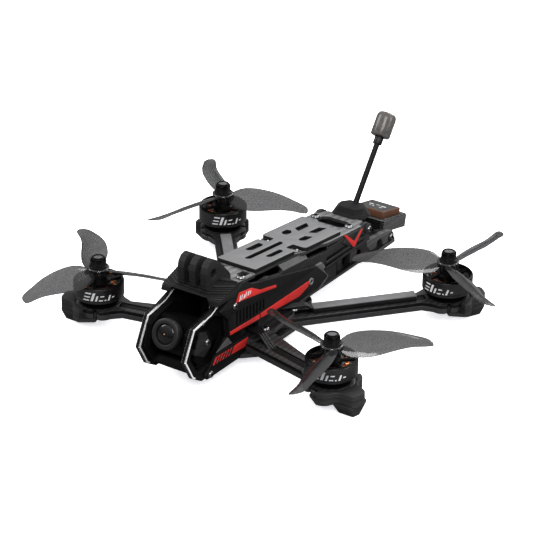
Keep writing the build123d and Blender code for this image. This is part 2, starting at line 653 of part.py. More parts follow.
def tail_mount():
    hood = prism_x([(67.3, 15.6), (67.3, 36.4), (70.6, 40.8), (77.5, 41.0), (83.5, 38.0),
                    (86.0, 30.0), (82.0, 20.0), (96.0, 19.0), (96.0, 15.6)], -11.0, 11.0)
    top = [(-11.0, 10), (-11.0, 36.5), (-7.6, 41.5), (7.6, 41.5), (11.0, 36.5), (11.0, 10)]
    hood = hood & prism_y(top, 60, 100)
    hood -= prism_x([(60.0, 12.0), (60.0, 33.0), (71.0, 33.0), (74.0, 19.0), (74.0, 12.0)], -8.6, 8.6)
    tray = prism_x([(92.5, 15.6), (92.5, 20.6), (95.6, 26.4), (121.6, 20.6), (123.6, 16.6), (118.0, 13.4),
                    (100.4, 13.4), (100.4, 15.6)], -11.6, 11.6)
    well = Location((0, 105.9, 24.2), (-12.5, 0, 0)) * Pos(0, 0, 0) * Box(19.8, 19.8, 12, align=LOW)
    body = hood + tray - well
    # seat of the mast
    body += along((0, 74.5, 28.5), MAST_FOOT, 4.2, extra=1.6) & prism_x(
        [(62.6, 15.6), (62.6, 60), (100, 60), (100, 15.6)], -11, 11)
    body -= along((0, 74.5, 28.5), MAST_TOP, 1.6, start=1.5)
    for s in (1, -1):
        body -= Pos(s * 14.4, 96.6, 10) * Cylinder(3.2, 20)
    return body


save("tail_mount", sorted(tail_mount().solids(), key=lambda s: s.volume)[-1])
lean = Vector(*MAST_TOP) - Vector(0, 74.5, 28.5)
mast = along((0, 74.5, 28.5), MAST_TOP, 1.6, start=1.5)
foot = Vector(*MAST_TOP) - lean.normalized() * 4.5
collar = along(tuple(foot), MAST_TOP, 2.6)
cap = Cylinder(5.7, CAP_LENGTH, align=LOW)
cap = fillet(cap.edges().group_by(Axis.Z)[-1], 2.6)
cap = fillet(cap.edges().group_by(Axis.Z)[0], 0.8)
cap = Plane(origin=MAST_TOP, z_dir=lean) * cap
save("antenna_mast", mast + collar)
save("antenna_cap", cap)
gps = Location((0, 105.9, 24.2), (-12.5, 0, 0)) * Box(19.5, 19.5, 4.2, align=LOW)
save("gps_module", gps)


# ---- standoffs and screws --------------------------------------------------------------
def standoffs():
    made = []
    above = Pos(0, 0, MID_Z1) * Box(400, 400, 100, align=LOW)
    for x, v in DECK_SCREWS:
        for s in (1, -1):
            post = DECK * rod(2.25, -60, -PAD_T - DECK_T, s * x, v)
            post = post & above
            post -= DECK * rod(SCREW_R, -12, 0, s * x, v)
            made.append(post)
    bar = rod_x(2.5, -WALL_IN, WALL_IN, -98.2, 16.0)
    made.append(bar)
    return made


def frame_screws():
    made = []
    for x, v in DECK_SCREWS:
        for s in (1, -1):
            made.append(DECK * Pos(s * x, v, -PAD_T) * button_screw(7.0))
    for x, y in HUB_SCREWS:
        for s in (1, -1):
            made.append(Pos(s * x, y, MID_Z1) * button_screw(MID_Z1 - BOTTOM_Z0 - 0.1))
    for x, y in TAIL_SCREWS:
        for s in (1, -1):
            made.append(Pos(s * x, y, MID_Z1) * button_screw(2.0))
    sides = [(PANEL_OUT, *PANEL_SCREWS[0]), (PANEL_OUT, *PANEL_SCREWS[1]), (WALL_OUT + 1.6, *RAIL_SCREW),
             (WALL_OUT + 0.7, *WALL_SCREWS[0]), (WALL_OUT, *WALL_SCREWS[1])]
    for x, y, z in sides:
        screw = Pos(x, y, z) * Rot(0, 90, 0) * button_screw(x - WALL_IN + 0.4)
        made += [screw, flip(screw)]
    camera = Pos(WALL_IN + 1.9, CAM_PIVOT[1], CAM_PIVOT[2]) * Rot(0, 90, 0) * button_screw(7.0)
    made += [camera, flip(camera)]
    return made


save("standoffs", *standoffs())
save("frame_screws", *frame_screws())

print(len(WRITTEN), "nodes")
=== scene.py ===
import math

import bmesh
import bpy
from mathutils import Matrix, Vector


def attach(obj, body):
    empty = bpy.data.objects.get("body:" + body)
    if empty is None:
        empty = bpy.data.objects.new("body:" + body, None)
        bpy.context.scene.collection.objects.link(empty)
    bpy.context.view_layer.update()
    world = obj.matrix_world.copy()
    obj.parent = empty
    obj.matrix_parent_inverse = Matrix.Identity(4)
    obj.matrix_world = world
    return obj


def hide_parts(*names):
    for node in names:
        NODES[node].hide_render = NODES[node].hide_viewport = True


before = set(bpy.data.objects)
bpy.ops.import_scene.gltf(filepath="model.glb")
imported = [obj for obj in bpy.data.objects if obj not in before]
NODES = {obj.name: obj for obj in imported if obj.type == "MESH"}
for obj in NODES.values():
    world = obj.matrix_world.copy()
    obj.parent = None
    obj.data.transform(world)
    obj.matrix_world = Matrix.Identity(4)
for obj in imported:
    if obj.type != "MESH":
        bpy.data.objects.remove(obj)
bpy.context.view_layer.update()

MM = 0.001

CORNERS = {
    "front_left": (1, -1), "front_right": (-1, -1), "rear_left": (1, 1), "rear_right": (-1, 1),
}
BLADE_ANGLES = {
    "front_right": (13.9, -1), "rear_right": (18.1, 1), "rear_left": (81.9, -1), "front_left": (46.4, 1),
}
MARK_ANGLES = {"front_right": -52.0, "rear_right": -44.0, "rear_left": -84.0, "front_left": -62.0}
MOTOR_X, MOTOR_Y = 76.0, 58.6
ARM_LOW, ARM_HIGH = 8.5, 13.5              # the carbon arms, bottom and top
CHANNEL_DEPTH = 2.0                        # wire channel in the arm's top
CHEEK_IN, CHEEK_OUT = 13.5, 16.0           # camera plates and side walls, x of both faces
PANEL_OUT = 18.0                           # x of the side panels' outer face
PAD_T, DECK_T = 2.2, 2.0                   # grip pad and the deck plate under it
BELL_R = 13.9
MOTOR_BOLT_R = 8.0
WALL_SCREW, TAIL_SCREW = (70.3, 32.4), (95.3, 17.6)      # y, z of the screws at the tail
LENS_AXIS = (0, -85.9, 28.4)               # tilt axis of the camera, along X
DECK_TILT = math.radians(6.17)
DECK = Matrix.Translation((0, 5.5, 44.7)) @ Matrix.Rotation(-DECK_TILT, 4, "X")
DECK_SCREWS = ((10.8, -53.0), (9.7, 0.0), (11.2, 53.0))      # across and along the deck
YZ = Matrix(((0, 0, 1, 0), (1, 0, 0, 0), (0, 1, 0, 0), (0, 0, 0, 1)))      # local x, y, z -> Y, Z, X
XZ = Matrix(((1, 0, 0, 0), (0, 0, -1, 0), (0, 1, 0, 0), (0, 0, 0, 1)))      # local x, y, z -> X, Z, -Y
CAM_TILT = Matrix.Translation(LENS_AXIS) @ Matrix.Rotation(math.radians(-20), 4, "X")


# ---- materials -------------------------------------------------------------------------
def node(tree, kind, inputs=None, **settings):
    made = tree.nodes.new(kind)
    for key, value in settings.items():
        setattr(made, key, value)
    for key, value in (inputs or {}).items():
        if isinstance(value, bpy.types.NodeSocket):
            tree.links.new(value, made.inputs[key])
        else:
            made.inputs[key].default_value = value
    return made


def math_node(tree, op, a, b=None, c=None):
    made = tree.nodes.new("ShaderNodeMath")
    made.operation = op
    for k, value in enumerate((a, b, c)):
        if value is None:
            continue
        if isinstance(value, bpy.types.NodeSocket):
            tree.links.new(value, made.inputs[k])
        else:
            made.inputs[k].default_value = value
    return made.outputs[0]


def noise(tree, where, scale, detail=2.0):
    return node(tree, "ShaderNodeTexNoise", {"Vector": where, "Scale": scale,
                                             "Detail": detail}).outputs["Fac"]


def hump(tree, value):
    """0 at every whole number of value and 1 halfway between."""
    phase = math_node(tree, "FRACT", value)
    return math_node(tree, "SINE", math_node(tree, "MULTIPLY", phase, math.pi))


def weighted(tree, a, share_a, b, share_b):
    return math_node(tree, "ADD", math_node(tree, "MULTIPLY", a, share_a), math_node(tree, "MULTIPLY", b,
            share_b))


def mix_colour(tree, factor, a, b):
    made = tree.nodes.new("ShaderNodeMix")
    made.data_type = "RGBA"
    for key, value in (("Factor", factor), ("A", a), ("B", b)):
        socket = [s for s in made.inputs if s.name == key and s.enabled][0]
        if isinstance(value, bpy.types.NodeSocket):
            tree.links.new(value, socket)
        else:
            socket.default_value = value
    return [s for s in made.outputs if s.enabled][0]


def ramp(tree, factor, low, high, a=0.0, b=1.0):
    made = tree.nodes.new("ShaderNodeMapRange")
    tree.links.new(factor, made.inputs["Value"])
    for key, value in (("From Min", low), ("From Max", high), ("To Min", a), ("To Max", b)):
        made.inputs[key].default_value = value
    return made.outputs[0]


def grey(v, a=1.0):
    return (v, v, v * 1.02, a)


def start(name):
    made = bpy.data.materials.new(name)
    made.use_nodes = True
    tree = made.node_tree
    shader = tree.nodes["Principled BSDF"]
    where = node(tree, "ShaderNodeTexCoord").outputs["Object"]
    return made, tree, shader, where


def bump(tree, shader, height, strength, distance):
    made = node(tree, "ShaderNodeBump", {"Height": height, "Strength": strength, "Distance": distance})
    tree.links.new(made.outputs[0], shader.inputs["Normal"])


def surface(name, dark, light, rough=(0.35, 0.5), metal=0.0, scale=700.0, relief=0.25, depth=0.00006,
            wear=0.0, coat=0.0, shine=0.5):
    """Paint, plastic or metal: cloudy colour, fine grain in the gloss and relief, lighter worn corners.

    dark and light are grey levels or colours.
    """
    dark, light = (grey(v) if isinstance(v, float) else v for v in (dark, light))
    made, tree, shader, where = start(name)
    cloud = noise(tree, where, 90.0, 4.0)
    grain = noise(tree, where, scale, 3.0)
    colour = mix_colour(tree, ramp(tree, cloud, 0.3, 0.7), dark, light)
    if wear:
        edge = node(tree, "ShaderNodeNewGeometry").outputs["Pointiness"]
        worn = ramp(tree, edge, 0.52, 0.62, 0.0, wear)
        worn = math_node(tree, "MULTIPLY", worn, ramp(tree, grain, 0.35, 0.65, 0.4, 1.0))
        colour = mix_colour(tree, worn, colour, (0.35, 0.35, 0.36, 1))
    tree.links.new(colour, shader.inputs["Base Color"])
    tree.links.new(ramp(tree, grain, 0.3, 0.7, rough[0], rough[1]), shader.inputs["Roughness"])
    shader.inputs["Metallic"].default_value = metal
    shader.inputs["Coat Weight"].default_value = coat
    shader.inputs["Specular IOR Level"].default_value = shine
    bump(tree, shader, grain, relief, depth)
    return made


def printed(name, dark=0.005, light=0.03, pitch=0.36, shine=0.35):
    """Flexible printed plastic: stacked layer lines along Z, each a little lighter or darker."""
    made, tree, shader, where = start(name)
    split = node(tree, "ShaderNodeSeparateXYZ", {"Vector": where})
    wobble = noise(tree, where, 60.0)
    z = math_node(tree, "MULTIPLY", split.outputs["Z"], 1.0 / (pitch * MM))
    z = math_node(tree, "ADD", z, math_node(tree, "MULTIPLY", wobble, 0.5))
    layer = hump(tree, z)
    index = math_node(tree, "FLOOR", z)
    each = node(tree, "ShaderNodeTexWhiteNoise", {"W": index}, noise_dimensions="1D").outputs["Value"]
    shade = weighted(tree, layer, 0.55, each, 0.45)
    colour = mix_colour(tree, shade, grey(dark), grey(light))
    tree.links.new(colour, shader.inputs["Base Color"])
    tree.links.new(ramp(tree, each, 0.0, 1.0, 0.5, 0.66), shader.inputs["Roughness"])
    shader.inputs["Specular IOR Level"].default_value = shine
    bump(tree, shader, layer, 0.55, 0.00012)
    return made


def carbon(name, tow=1.5, low=0.012, high=0.05):
    """Two by two twill in the plate's plane, with the stacked plies showing on the cut edges."""
    made, tree, shader, where = start(name)
    split = node(tree, "ShaderNodeSeparateXYZ", {"Vector": where})
    x, y, z = (split.outputs[k] for k in "XYZ")
    k = 1.0 / (tow * MM * math.sqrt(2))
    u = math_node(tree, "MULTIPLY", math_node(tree, "ADD", x, y), k)
    v = math_node(tree, "MULTIPLY", math_node(tree, "SUBTRACT", x, y), k)
    fu, fv = math_node(tree, "FLOOR", u), math_node(tree, "FLOOR", v)
    turn = math_node(tree, "FLOORED_MODULO", math_node(tree, "ADD", fu, fv), 4.0)
    over = math_node(tree, "LESS_THAN", turn, 1.5)
    pick = node(tree, "ShaderNodeMix", {0: over, 2: hump(tree, v), 3: hump(tree, u)},
                data_type="FLOAT").outputs[0]
    strands = noise(tree, where, 2600.0)
    tone = weighted(tree, over, 0.5, pick, 0.35)
    tone = math_node(tree, "ADD", tone, math_node(tree, "MULTIPLY", strands, 0.25))
    face = mix_colour(tree, tone, grey(low), grey(high))
    # cut edge: plies along Z
    ply = math_node(tree, "FRACT", math_node(tree, "MULTIPLY", z, 1.0 / (0.32 * MM)))
    ply = weighted(tree, ply, 0.5, strands, 0.7)
    side = mix_colour(tree, ply, grey(0.012), grey(0.075))
    normal = node(tree, "ShaderNodeSeparateXYZ", {"Vector": node(tree,
            "ShaderNodeNewGeometry").outputs["Normal"]})
    flat = math_node(tree, "GREATER_THAN", math_node(tree, "ABSOLUTE", normal.outputs["Z"]), 0.6)
    tree.links.new(mix_colour(tree, flat, side, face), shader.inputs["Base Color"])
    gloss = math_node(tree, "MULTIPLY_ADD", over, 0.14, 0.3)
    tree.links.new(gloss, shader.inputs["Roughness"])
    shader.inputs["Coat Weight"].default_value = 0.25
    shader.inputs["Coat Roughness"].default_value = 0.25
    bump(tree, shader, pick, 0.35, 0.00008)
    return made


def smoky(name, base=0.035, clear=0.27, edge=0.95, rough=0.13, warm=0.0):
    """Tinted see-through plastic that closes up towards its silhouette, with faint flow marks."""
    made, tree, shader, where = start(name)
    flow = noise(tree, where, 120.0, 3.0)
    fine = noise(tree, where, 900.0)
    tint = [(v * (1 + warm), v, v * (1.02 - warm), 1) for v in (base * 0.85, base * 1.15)]
    colour = mix_colour(tree, ramp(tree, flow, 0.3, 0.7), *tint)
    tree.links.new(colour, shader.inputs["Base Color"])
    tree.links.new(ramp(tree, fine, 0.3, 0.7, rough * 0.8, rough * 1.2), shader.inputs["Roughness"])
    facing = node(tree, "ShaderNodeLayerWeight", {"Blend": 0.35}).outputs["Facing"]
    tree.links.new(ramp(tree, facing, 0.0, 1.0, 1.0 - clear, edge), shader.inputs["Alpha"])
    shader.inputs["Coat Weight"].default_value = 0.4
    shader.inputs["Coat Roughness"].default_value = 0.1
    bump(tree, shader, fine, 0.1, 0.00003)
    return made


def striped(name, dark, light, axis, pitch, rough=0.4, metal=0.0):
    """Lines of two colours across one axis, such as windings or laminations."""
    made, tree, shader, where = start(name)
    split = node(tree, "ShaderNodeSeparateXYZ", {"Vector": where})
    along = split.outputs[axis]
    wave = hump(tree, math_node(tree, "MULTIPLY", along, 1.0 / (pitch * MM)))
    fine = noise(tree, where, 1500.0)
    pick = ramp(tree, wave, 0.4, 0.6)
    tree.links.new(mix_colour(tree, pick, dark, light), shader.inputs["Base Color"])
    tree.links.new(ramp(tree, fine, 0.3, 0.7, rough * 0.8, rough * 1.2), shader.inputs["Roughness"])
    shader.inputs["Metallic"].default_value = metal
    bump(tree, shader, wave, 0.4, 0.0001)
    return made


M = {
    "carbon": carbon("carbon_twill", low=0.006, high=0.03),
    # painted sheen: a far lighter copy of the carbon weave for the deck plate, its grey standing in for the
    # light its top reflects
    "carbon_top_sheen": carbon("carbon_top_sheen", tow=1.6, low=0.10, high=0.22),
    "carbon_arm": carbon("carbon_arm", tow=1.2, low=0.012, high=0.05),
    "tpu": printed("printed_tpu", dark=0.004, light=0.034, pitch=0.85),
    "tpu_tail": printed("printed_tpu_tail", dark=0.035, light=0.15, pitch=0.85),
    "tpu_guard": printed("printed_tpu_guard", dark=0.012, light=0.07, pitch=0.85),
    # near-black printed plastic; on the front faces of the tail tray it is painted shade
    "tpu_dark": printed("printed_tpu_dark_and_shade", dark=0.002, light=0.006, pitch=0.85, shine=0.1),
    # black anodised finish; on the arms' upper side faces and channel walls it is painted shade
    "black": surface("black_anodised_and_painted_shade", 0.002, 0.005, rough=(0.3, 0.42), wear=0.12, shine=0.22),
    "shell": surface("side_shell", 0.005, 0.009, rough=(0.42, 0.58), scale=1400, relief=0.3, wear=0.15,
                     shine=0.3),
    "shell_grey": surface("side_frame", 0.012, 0.02, rough=(0.42, 0.55), scale=1400, relief=0.3, wear=0.2),
    "shell_light": surface("side_facet", 0.024, 0.04, rough=(0.42, 0.55), scale=1400, relief=0.3),
    "ring": surface("grey_ring", 0.22, 0.3, rough=(0.4, 0.5), metal=0.4),
    "edge": surface("bright_edge", 0.93, 0.98, rough=(0.2, 0.34), metal=0.15, scale=2500, relief=0.1),
    "red": surface("red_trim", (0.52, 0.03, 0.026, 1), (0.64, 0.045, 0.04, 1), rough=(0.36, 0.5), scale=1200),
    # pale metallic grey; the wall's glint patch and the bright line along the panel edge are painted
    # highlights
    "facet": surface("pale_facet_and_painted_glints", 0.16, 0.24, rough=(0.35, 0.5), metal=0.5),
    "bell": surface("motor_bell", 0.002, 0.005, rough=(0.26, 0.38), scale=1800, relief=0.12, shine=0.2),
    # painted sheen: the side wall is a lighter metallic copy of the black bell finish, so it shows the grey
    # sheen the top lacks
    "bell_side_sheen": surface("motor_bell_wall_sheen", 0.085, 0.12, rough=(0.24, 0.34), metal=0.95, scale=1800,
                         relief=0.1),
    "base": surface("motor_base", 0.001, 0.003, rough=(0.4, 0.55), shine=0.08),
    "mark": surface("pale_print", 0.62, 0.75, rough=(0.5, 0.6)),
    "copper": striped("copper_wire", (0.62, 0.20, 0.09, 1), (0.86, 0.42, 0.2, 1), "Z", 0.42, rough=0.3,
                      metal=0.75),
    "iron": striped("stator_sheets", grey(0.10), grey(0.3), "Z", 0.35, rough=0.45, metal=0.8),
    "magnet": surface("magnet_plate", 0.4, 0.5, rough=(0.25, 0.4), metal=0.9),
    "steel": surface("screw_steel", 0.2, 0.32, rough=(0.2, 0.36), metal=0.95, scale=2000, relief=0.15),
    # painted shade in holes: the insides of the screw sockets and the layer behind the vent slots
    "socket": surface("socket_and_vent_shade", 0.01, 0.03, rough=(0.4, 0.6), metal=0.6),
    "prop": smoky("prop_plastic"),
    "nut": surface("nut_black", 0.001, 0.002, rough=(0.14, 0.24), scale=1500, wear=0.12, shine=0.07),
    "nylon": surface("nut_insert", 0.003, 0.006, rough=(0.16, 0.3), shine=0.2),
    # painted light and shade on one rubber pad: a grey copy for the top and a near-black copy for the sides
    "pad": surface("deck_pad", 0.175, 0.19, rough=(0.5, 0.62), scale=2600, relief=0.15),
    "pad_shaded_sides": surface("deck_pad_shaded_sides", 0.003, 0.006, rough=(0.5, 0.7)),
    # near-black camera case; also used as painted shade: the sheet under the deck's rear slot, the sheet
    # between the wall's ribs and the wall windows' inner faces
    "case": surface("camera_case", 0.002, 0.005, rough=(0.3, 0.45), scale=1500, shine=0.22),
    "lens": surface("lens_ring", 0.022, 0.034, rough=(0.34, 0.46), scale=1800, metal=0.3),
    "glint": surface("lens_glint", (0.35, 0.16, 0.08, 1), (0.5, 0.28, 0.16, 1), rough=(0.2, 0.3)),
    "mast": surface("mast_sleeve", 0.004, 0.008, rough=(0.35, 0.5)),
    "board": surface("circuit_board", (0.01, 0.03, 0.02, 1), (0.02, 0.05, 0.035, 1), rough=(0.3, 0.5)),
    # painted shade: the radio case is near-black so that it reads as the shadowed inside of the body through
    # the wall windows
    "radio": surface("radio_case_painted_shade", 0.005, 0.01, rough=(0.35, 0.5), metal=0.2, shine=0.25),
    "patch": surface("patch_ceramic", (0.10, 0.045, 0.026, 1), (0.135, 0.062, 0.036, 1), rough=(0.4, 0.6),
                     scale=900),
    "label": surface("dark_label", 0.05, 0.075, rough=(0.35, 0.5)),
    "wire": surface("wire_sleeve", 0.004, 0.008, rough=(0.38, 0.5)),
    "strip": surface("frosted_strip", 0.16, 0.22, rough=(0.35, 0.5), scale=1500),
    "cap": smoky("antenna_cap_smoke", base=0.09, clear=0.12, edge=0.95, rough=0.35, warm=0.1),
}


def glass_material(name):
    made, tree, shader, where = start(name)
    # painted sheen: the glass colour turns lighter towards grazing view, standing in for its reflection at
    # the rim
    facing = node(tree, "ShaderNodeLayerWeight", {"Blend": 0.5}).outputs["Facing"]
    colour = mix_colour(tree, ramp(tree, facing, 0.0, 0.7), (0.003, 0.003, 0.003, 1), (0.014, 0.013, 0.015,
            1))
    tree.links.new(colour, shader.inputs["Base Color"])
    dust = node(tree, "ShaderNodeTexNoise", {"Vector": where, "Scale": 1500.0}).outputs["Fac"]
    tree.links.new(ramp(tree, dust, 0.4, 0.8, 0.02, 0.07), shader.inputs["Roughness"])
    shader.inputs["Coat Weight"].default_value = 0.3
    return made


M["glass"] = glass_material("coated_glass")


# ---- geometry, in millimetres ----------------------------------------------------------
def polar(radius, angle):
    return radius * math.cos(angle), radius * math.sin(angle)


def ring(n):
    """The angles of n points round a circle."""
    return [2 * math.pi * k / n for k in range(n)]


def rounded(points, radius, steps=4):
    """Replace every corner of a closed outline by an arc."""
    out = []
    n = len(points)
    for i in range(n):
        a, b, c = Vector(points[i - 1]), Vector(points[i]), Vector(points[(i + 1) % n])
        ab, cb = a - b, c - b
        if ab.length < 1e-6 or cb.length < 1e-6:
            continue
        angle = ab.angle(cb)
        if angle > math.radians(176):
            out.append(tuple(b))
            continue
        cut = min(radius / math.tan(angle / 2), 0.45 * ab.length, 0.45 * cb.length)
        p, q = b + ab.normalized() * cut, b + cb.normalized() * cut
        for k in range(steps + 1):
            t = k / steps
            out.append(tuple((1 - t) ** 2 * p + 2 * t * (1 - t) * b + t * t * q))
    return out


def circle(radius, x=0.0, y=0.0, n=40):
    return [(x + radius * math.cos(a), y + radius * math.sin(a)) for a in ring(n)]


def box(x, y, wide, deep):
    """Corners of a rectangle round (x, y)."""
    return [(x + wide * i / 2, y + deep * j / 2) for i, j in ((-1, -1), (1, -1), (1, 1), (-1, 1))]


def plate(loops, z0, z1, bevel=0.25, fine=1):
    """Flat plate with holes and softened edges."""
    curve = bpy.data.curves.new("tmp_plate", "CURVE")
    curve.dimensions = "2D"
    curve.fill_mode = "BOTH"
    curve.extrude = (z1 - z0) / 2 - bevel
    curve.bevel_depth = bevel
    curve.offset = -bevel
    curve.bevel_resolution = fine
    for loop in loops:
        spline = curve.splines.new("POLY")
        spline.points.add(len(loop) - 1)
        for point, (x, y) in zip(spline.points, loop):
            point.co = (x, y, 0, 1)
        spline.use_cyclic_u = True
    obj = bpy.data.objects.new("tmp_plate", curve)
    bpy.context.collection.objects.link(obj)
    mesh = bpy.data.meshes.new_from_object(obj.evaluated_get(bpy.context.evaluated_depsgraph_get()))
    work = bmesh.new()
    work.from_mesh(mesh)
    bmesh.ops.remove_doubles(work, verts=work.verts, dist=0.002)
    bmesh.ops.recalc_face_normals(work, faces=work.faces)
    work.verts.index_update()
    middle = (z0 + z1) / 2
    verts = [(v.co.x, v.co.y, v.co.z + middle) for v in work.verts]
    faces = [[v.index for v in f.verts] for f in work.faces]
    work.free()
    bpy.data.objects.remove(obj)
    bpy.data.curves.remove(curve)
    bpy.data.meshes.remove(mesh)
    return verts, faces


def skin(rings, closed_ends=True, wrap=False):
    """Surface through rings of the same number of points."""
    n = len(rings[0])
    verts = [p for ring in rings for p in ring]
    faces = []
    last = len(rings) if wrap else len(rings) - 1
    for i in range(last):
        j = (i + 1) % len(rings)
        for k in range(n):
            m = (k + 1) % n
            faces.append([i * n + k, i * n + m, j * n + m, j * n + k])
    if closed_ends and not wrap:
        faces.append(list(range(n))[::-1])
        faces.append([(len(rings) - 1) * n + k for k in range(n)])
    return verts, faces


def lathe(profile, n=72, loop=True):
    """Turn (radius, z) points about Z; a closed loop makes a ring, otherwise the ends are capped."""
    rings = [[(*polar(r, a), z) for a in ring(n)] for r, z in profile]
    return skin(rings, closed_ends=not loop, wrap=loop)


def smooth_path(points, per=8):
    """Catmull-Rom line through the points."""
    pts = [Vector(p) for p in points]
    out = []
    for i in range(len(pts) - 1):
        a, b, c, d = pts[max(i - 1, 0)], pts[i], pts[i + 1], pts[min(i + 2, len(pts) - 1)]
        for k in range(per):
            t = k / per
            out.append(0.5 * ((2 * b) + (c - a) * t + (2 * a - 5 * b + 4 * c - d) * t * t
                              + (3 * b - 3 * c + d - a) * t ** 3))
    out.append(pts[-1])
    return out


class Piece:
    """Collects geometry in millimetres and makes one object."""

    def __init__(self):
        self.verts, self.faces, self.slots = [], [], []

    def add(self, shape, slot=0, at=None, flip=False):
        verts, faces = shape
        base = len(self.verts)
        mirrored = at is not None and at.determinant() < 0
        for p in verts:
            q = Vector(p)
            if at is not None:
                q = at @ q
            if flip:
                q.x = -q.x
            self.verts.append(q)
        for face in faces:
            ids = [base + i for i in face]
            if mirrored != flip:
                ids.reverse()
            self.faces.append(ids)
            self.slots.append(slot)
        return self

    def recolour(self, slot_from, slot_to, test):
        """Move faces to another slot where test(centre, normal) holds."""
        for i, face in enumerate(self.faces):
            if self.slots[i] != slot_from or len(face) < 3:
                continue
            pts = [self.verts[k] for k in face]
            normal = Vector((0, 0, 0))
            for a, b in zip(pts, pts[1:] + pts[:1]):
                normal += a.cross(b)
            centre = sum(pts, Vector()) / len(pts)
            if normal.length > 1e-9 and test(centre, normal.normalized()):
                self.slots[i] = slot_to
        return self

    def placed(self, at, flip):
        """A copy of the whole piece, moved by at and mirrored left to right if flip."""
        copy = Piece().add((self.verts, self.faces), 0, at, flip)
        copy.slots = list(self.slots)
        return copy

    def make(self, name, materials, body="airframe", nodes=(), slot=None, angle=34):
        mesh = bpy.data.meshes.new(name)
        mesh.from_pydata([(p.x * MM, p.y * MM, p.z * MM) for p in self.verts], [], self.faces)
        for m in materials:
            mesh.materials.append(M[m] if isinstance(m, str) else m)
        mesh.polygons.foreach_set("material_index", self.slots)
        mesh.polygons.foreach_set("use_smooth", [True] * len(self.faces))
        mesh.update()
        mesh.set_sharp_from_angle(angle=math.radians(angle))
        obj = bpy.data.objects.new(name, mesh)
        bpy.context.collection.objects.link(obj)
        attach(obj, body)
        if nodes:
            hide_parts(*nodes)
        return obj


def dress(name, material, bevel=0.25, segments=2):
    """Carried-over CAD node: procedural material and softened edges."""
    obj = NODES[name]
    for s in obj.material_slots:
        s.material = M[material]
    if not obj.material_slots:
        obj.data.materials.append(M[material])
    if bevel:
        weld = obj.modifiers.new("weld", "WELD")
        weld.merge_threshold = 2e-6
        soft = obj.modifiers.new("soft_edges", "BEVEL")
        soft.width = bevel * MM
        soft.segments = segments
        soft.limit_method = "ANGLE"
        soft.angle_limit = math.radians(32)
        soft.use_clamp_overlap = True
        soft.harden_normals = False
    return obj


# ---- carried-over nodes ----------------------------------------------------------------
for name in ("bottom_plate", "mid_plate"):
    dress(name, "carbon", 0.15, 1)
for corner in CORNERS:
    dress(f"motor_shaft_{corner}", "steel", 0.1)
    dress(f"magnets_{corner}", "magnet", 0)
dress("camera_mounts", "tpu_dark", 0.3)
dress("stators", "iron", 0)
dress("bearings", "steel", 0)
dress("motor_screws", "steel", 0)
dress("flight_controller", "board", 0.1)
dress("air_unit", "radio", 0.3)
dress("camera_body", "case", 0.3)
dress("antenna_mast", "mast", 0.1)
dress("motor_wires", "wire", 0)


# ---- motors ----------------------------------------------------------------------------
def window(inner, outer, half_in, half_out, skew, n=7):
    pts = [(inner, -half_in + 2 * half_in * k / n) for k in range(n + 1)]
    pts += [(outer, skew + half_out - 2 * half_out * k / n) for k in range(n + 1)]
    return rounded([polar(r, math.radians(a)) for r, a in pts], 0.7, 3)


def turned(points, angle):
    a = math.radians(angle)
    return [(x * math.cos(a) - y * math.sin(a), x * math.sin(a) + y * math.cos(a)) for x, y in points]


BELL = Piece()
BELL.add(lathe([(12.1, 17.7), (13.3, 17.7), (13.75, 18.0), (13.9, 18.5), (13.9, 19.3), (13.72, 19.45),
                (13.72, 19.7),
                (13.9, 19.85), (13.9, 26.1), (13.8, 26.5), (13.5, 26.85), (13.1, 27.0), (12.5, 27.0), (12.2,
                        26.8),
                (12.1, 26.4)], 96))
BELL.add(plate([circle(12.9, n=96)] + [turned(window(6.3, 12.35, 19, 25, 12), 60 * k) for k in range(6)]
               + [circle(2.3)], 25.2, 26.7, 0.3))
BELL.add(lathe([(2.1, 25.6), (6.2, 25.6), (6.2, 26.9), (5.4, 27.4), (4.8, 27.6), (4.6, 28.0), (4.6, 28.8),
                (4.4, 29.0),
                (2.1, 29.0)], 56))


MARK_R, MARK_SLANT = BELL_R + 0.04, 0.32


def bell_marks(spans):
    """Pale slanted bars on the side of a bell: (start, width, low, high) in millimetres round the wall."""
    shape = Piece()
    for start_at, wide, low, high in spans:
        rows = []
        for k in range(5):
            s = start_at + wide * k / 4
            rows.append([(s + MARK_SLANT * (z - 22), z) for z in (low, high)])
        verts = []
        for row in rows:
            verts += [(*polar(MARK_R, s / MARK_R), z) for s, z in row]
        faces = [[2 * k, 2 * k + 2, 2 * k + 3, 2 * k + 1] for k in range(4)]
        shape.add((verts, faces))
    return shape.verts, shape.faces


MARKS = bell_marks([
    (-8.6, 3.6, 24.0, 24.9), (-8.6, 3.6, 21.9, 22.7), (-8.6, 3.6, 20.0, 20.8), (-4.2, 1.5, 20.0, 24.9),
    (-1.6, 1.1, 20.0, 23.2), (0.5, 2.2, 22.4, 23.2), (0.5, 2.2, 20.0, 20.8), (3.6, 0.9, 20.0, 20.8),
    (5.4, 1.1, 20.0, 23.2), (7.6, 1.6, 21.2, 22.0),
])

COIL_SHAPE = plate([rounded([(-1.55, -3.4), (1.55, -3.4), (1.55, 3.4), (-1.55, 3.4)], 1.2, 5),
                    [(-0.62, -2.62), (0.62, -2.62), (0.62, 2.62), (-0.62, 2.62)]], -1.25, 1.25, 0.35)


def hex_radius(angle, flat):
    return flat / math.cos((angle + math.pi / 6) % (math.pi / 3) - math.pi / 6)


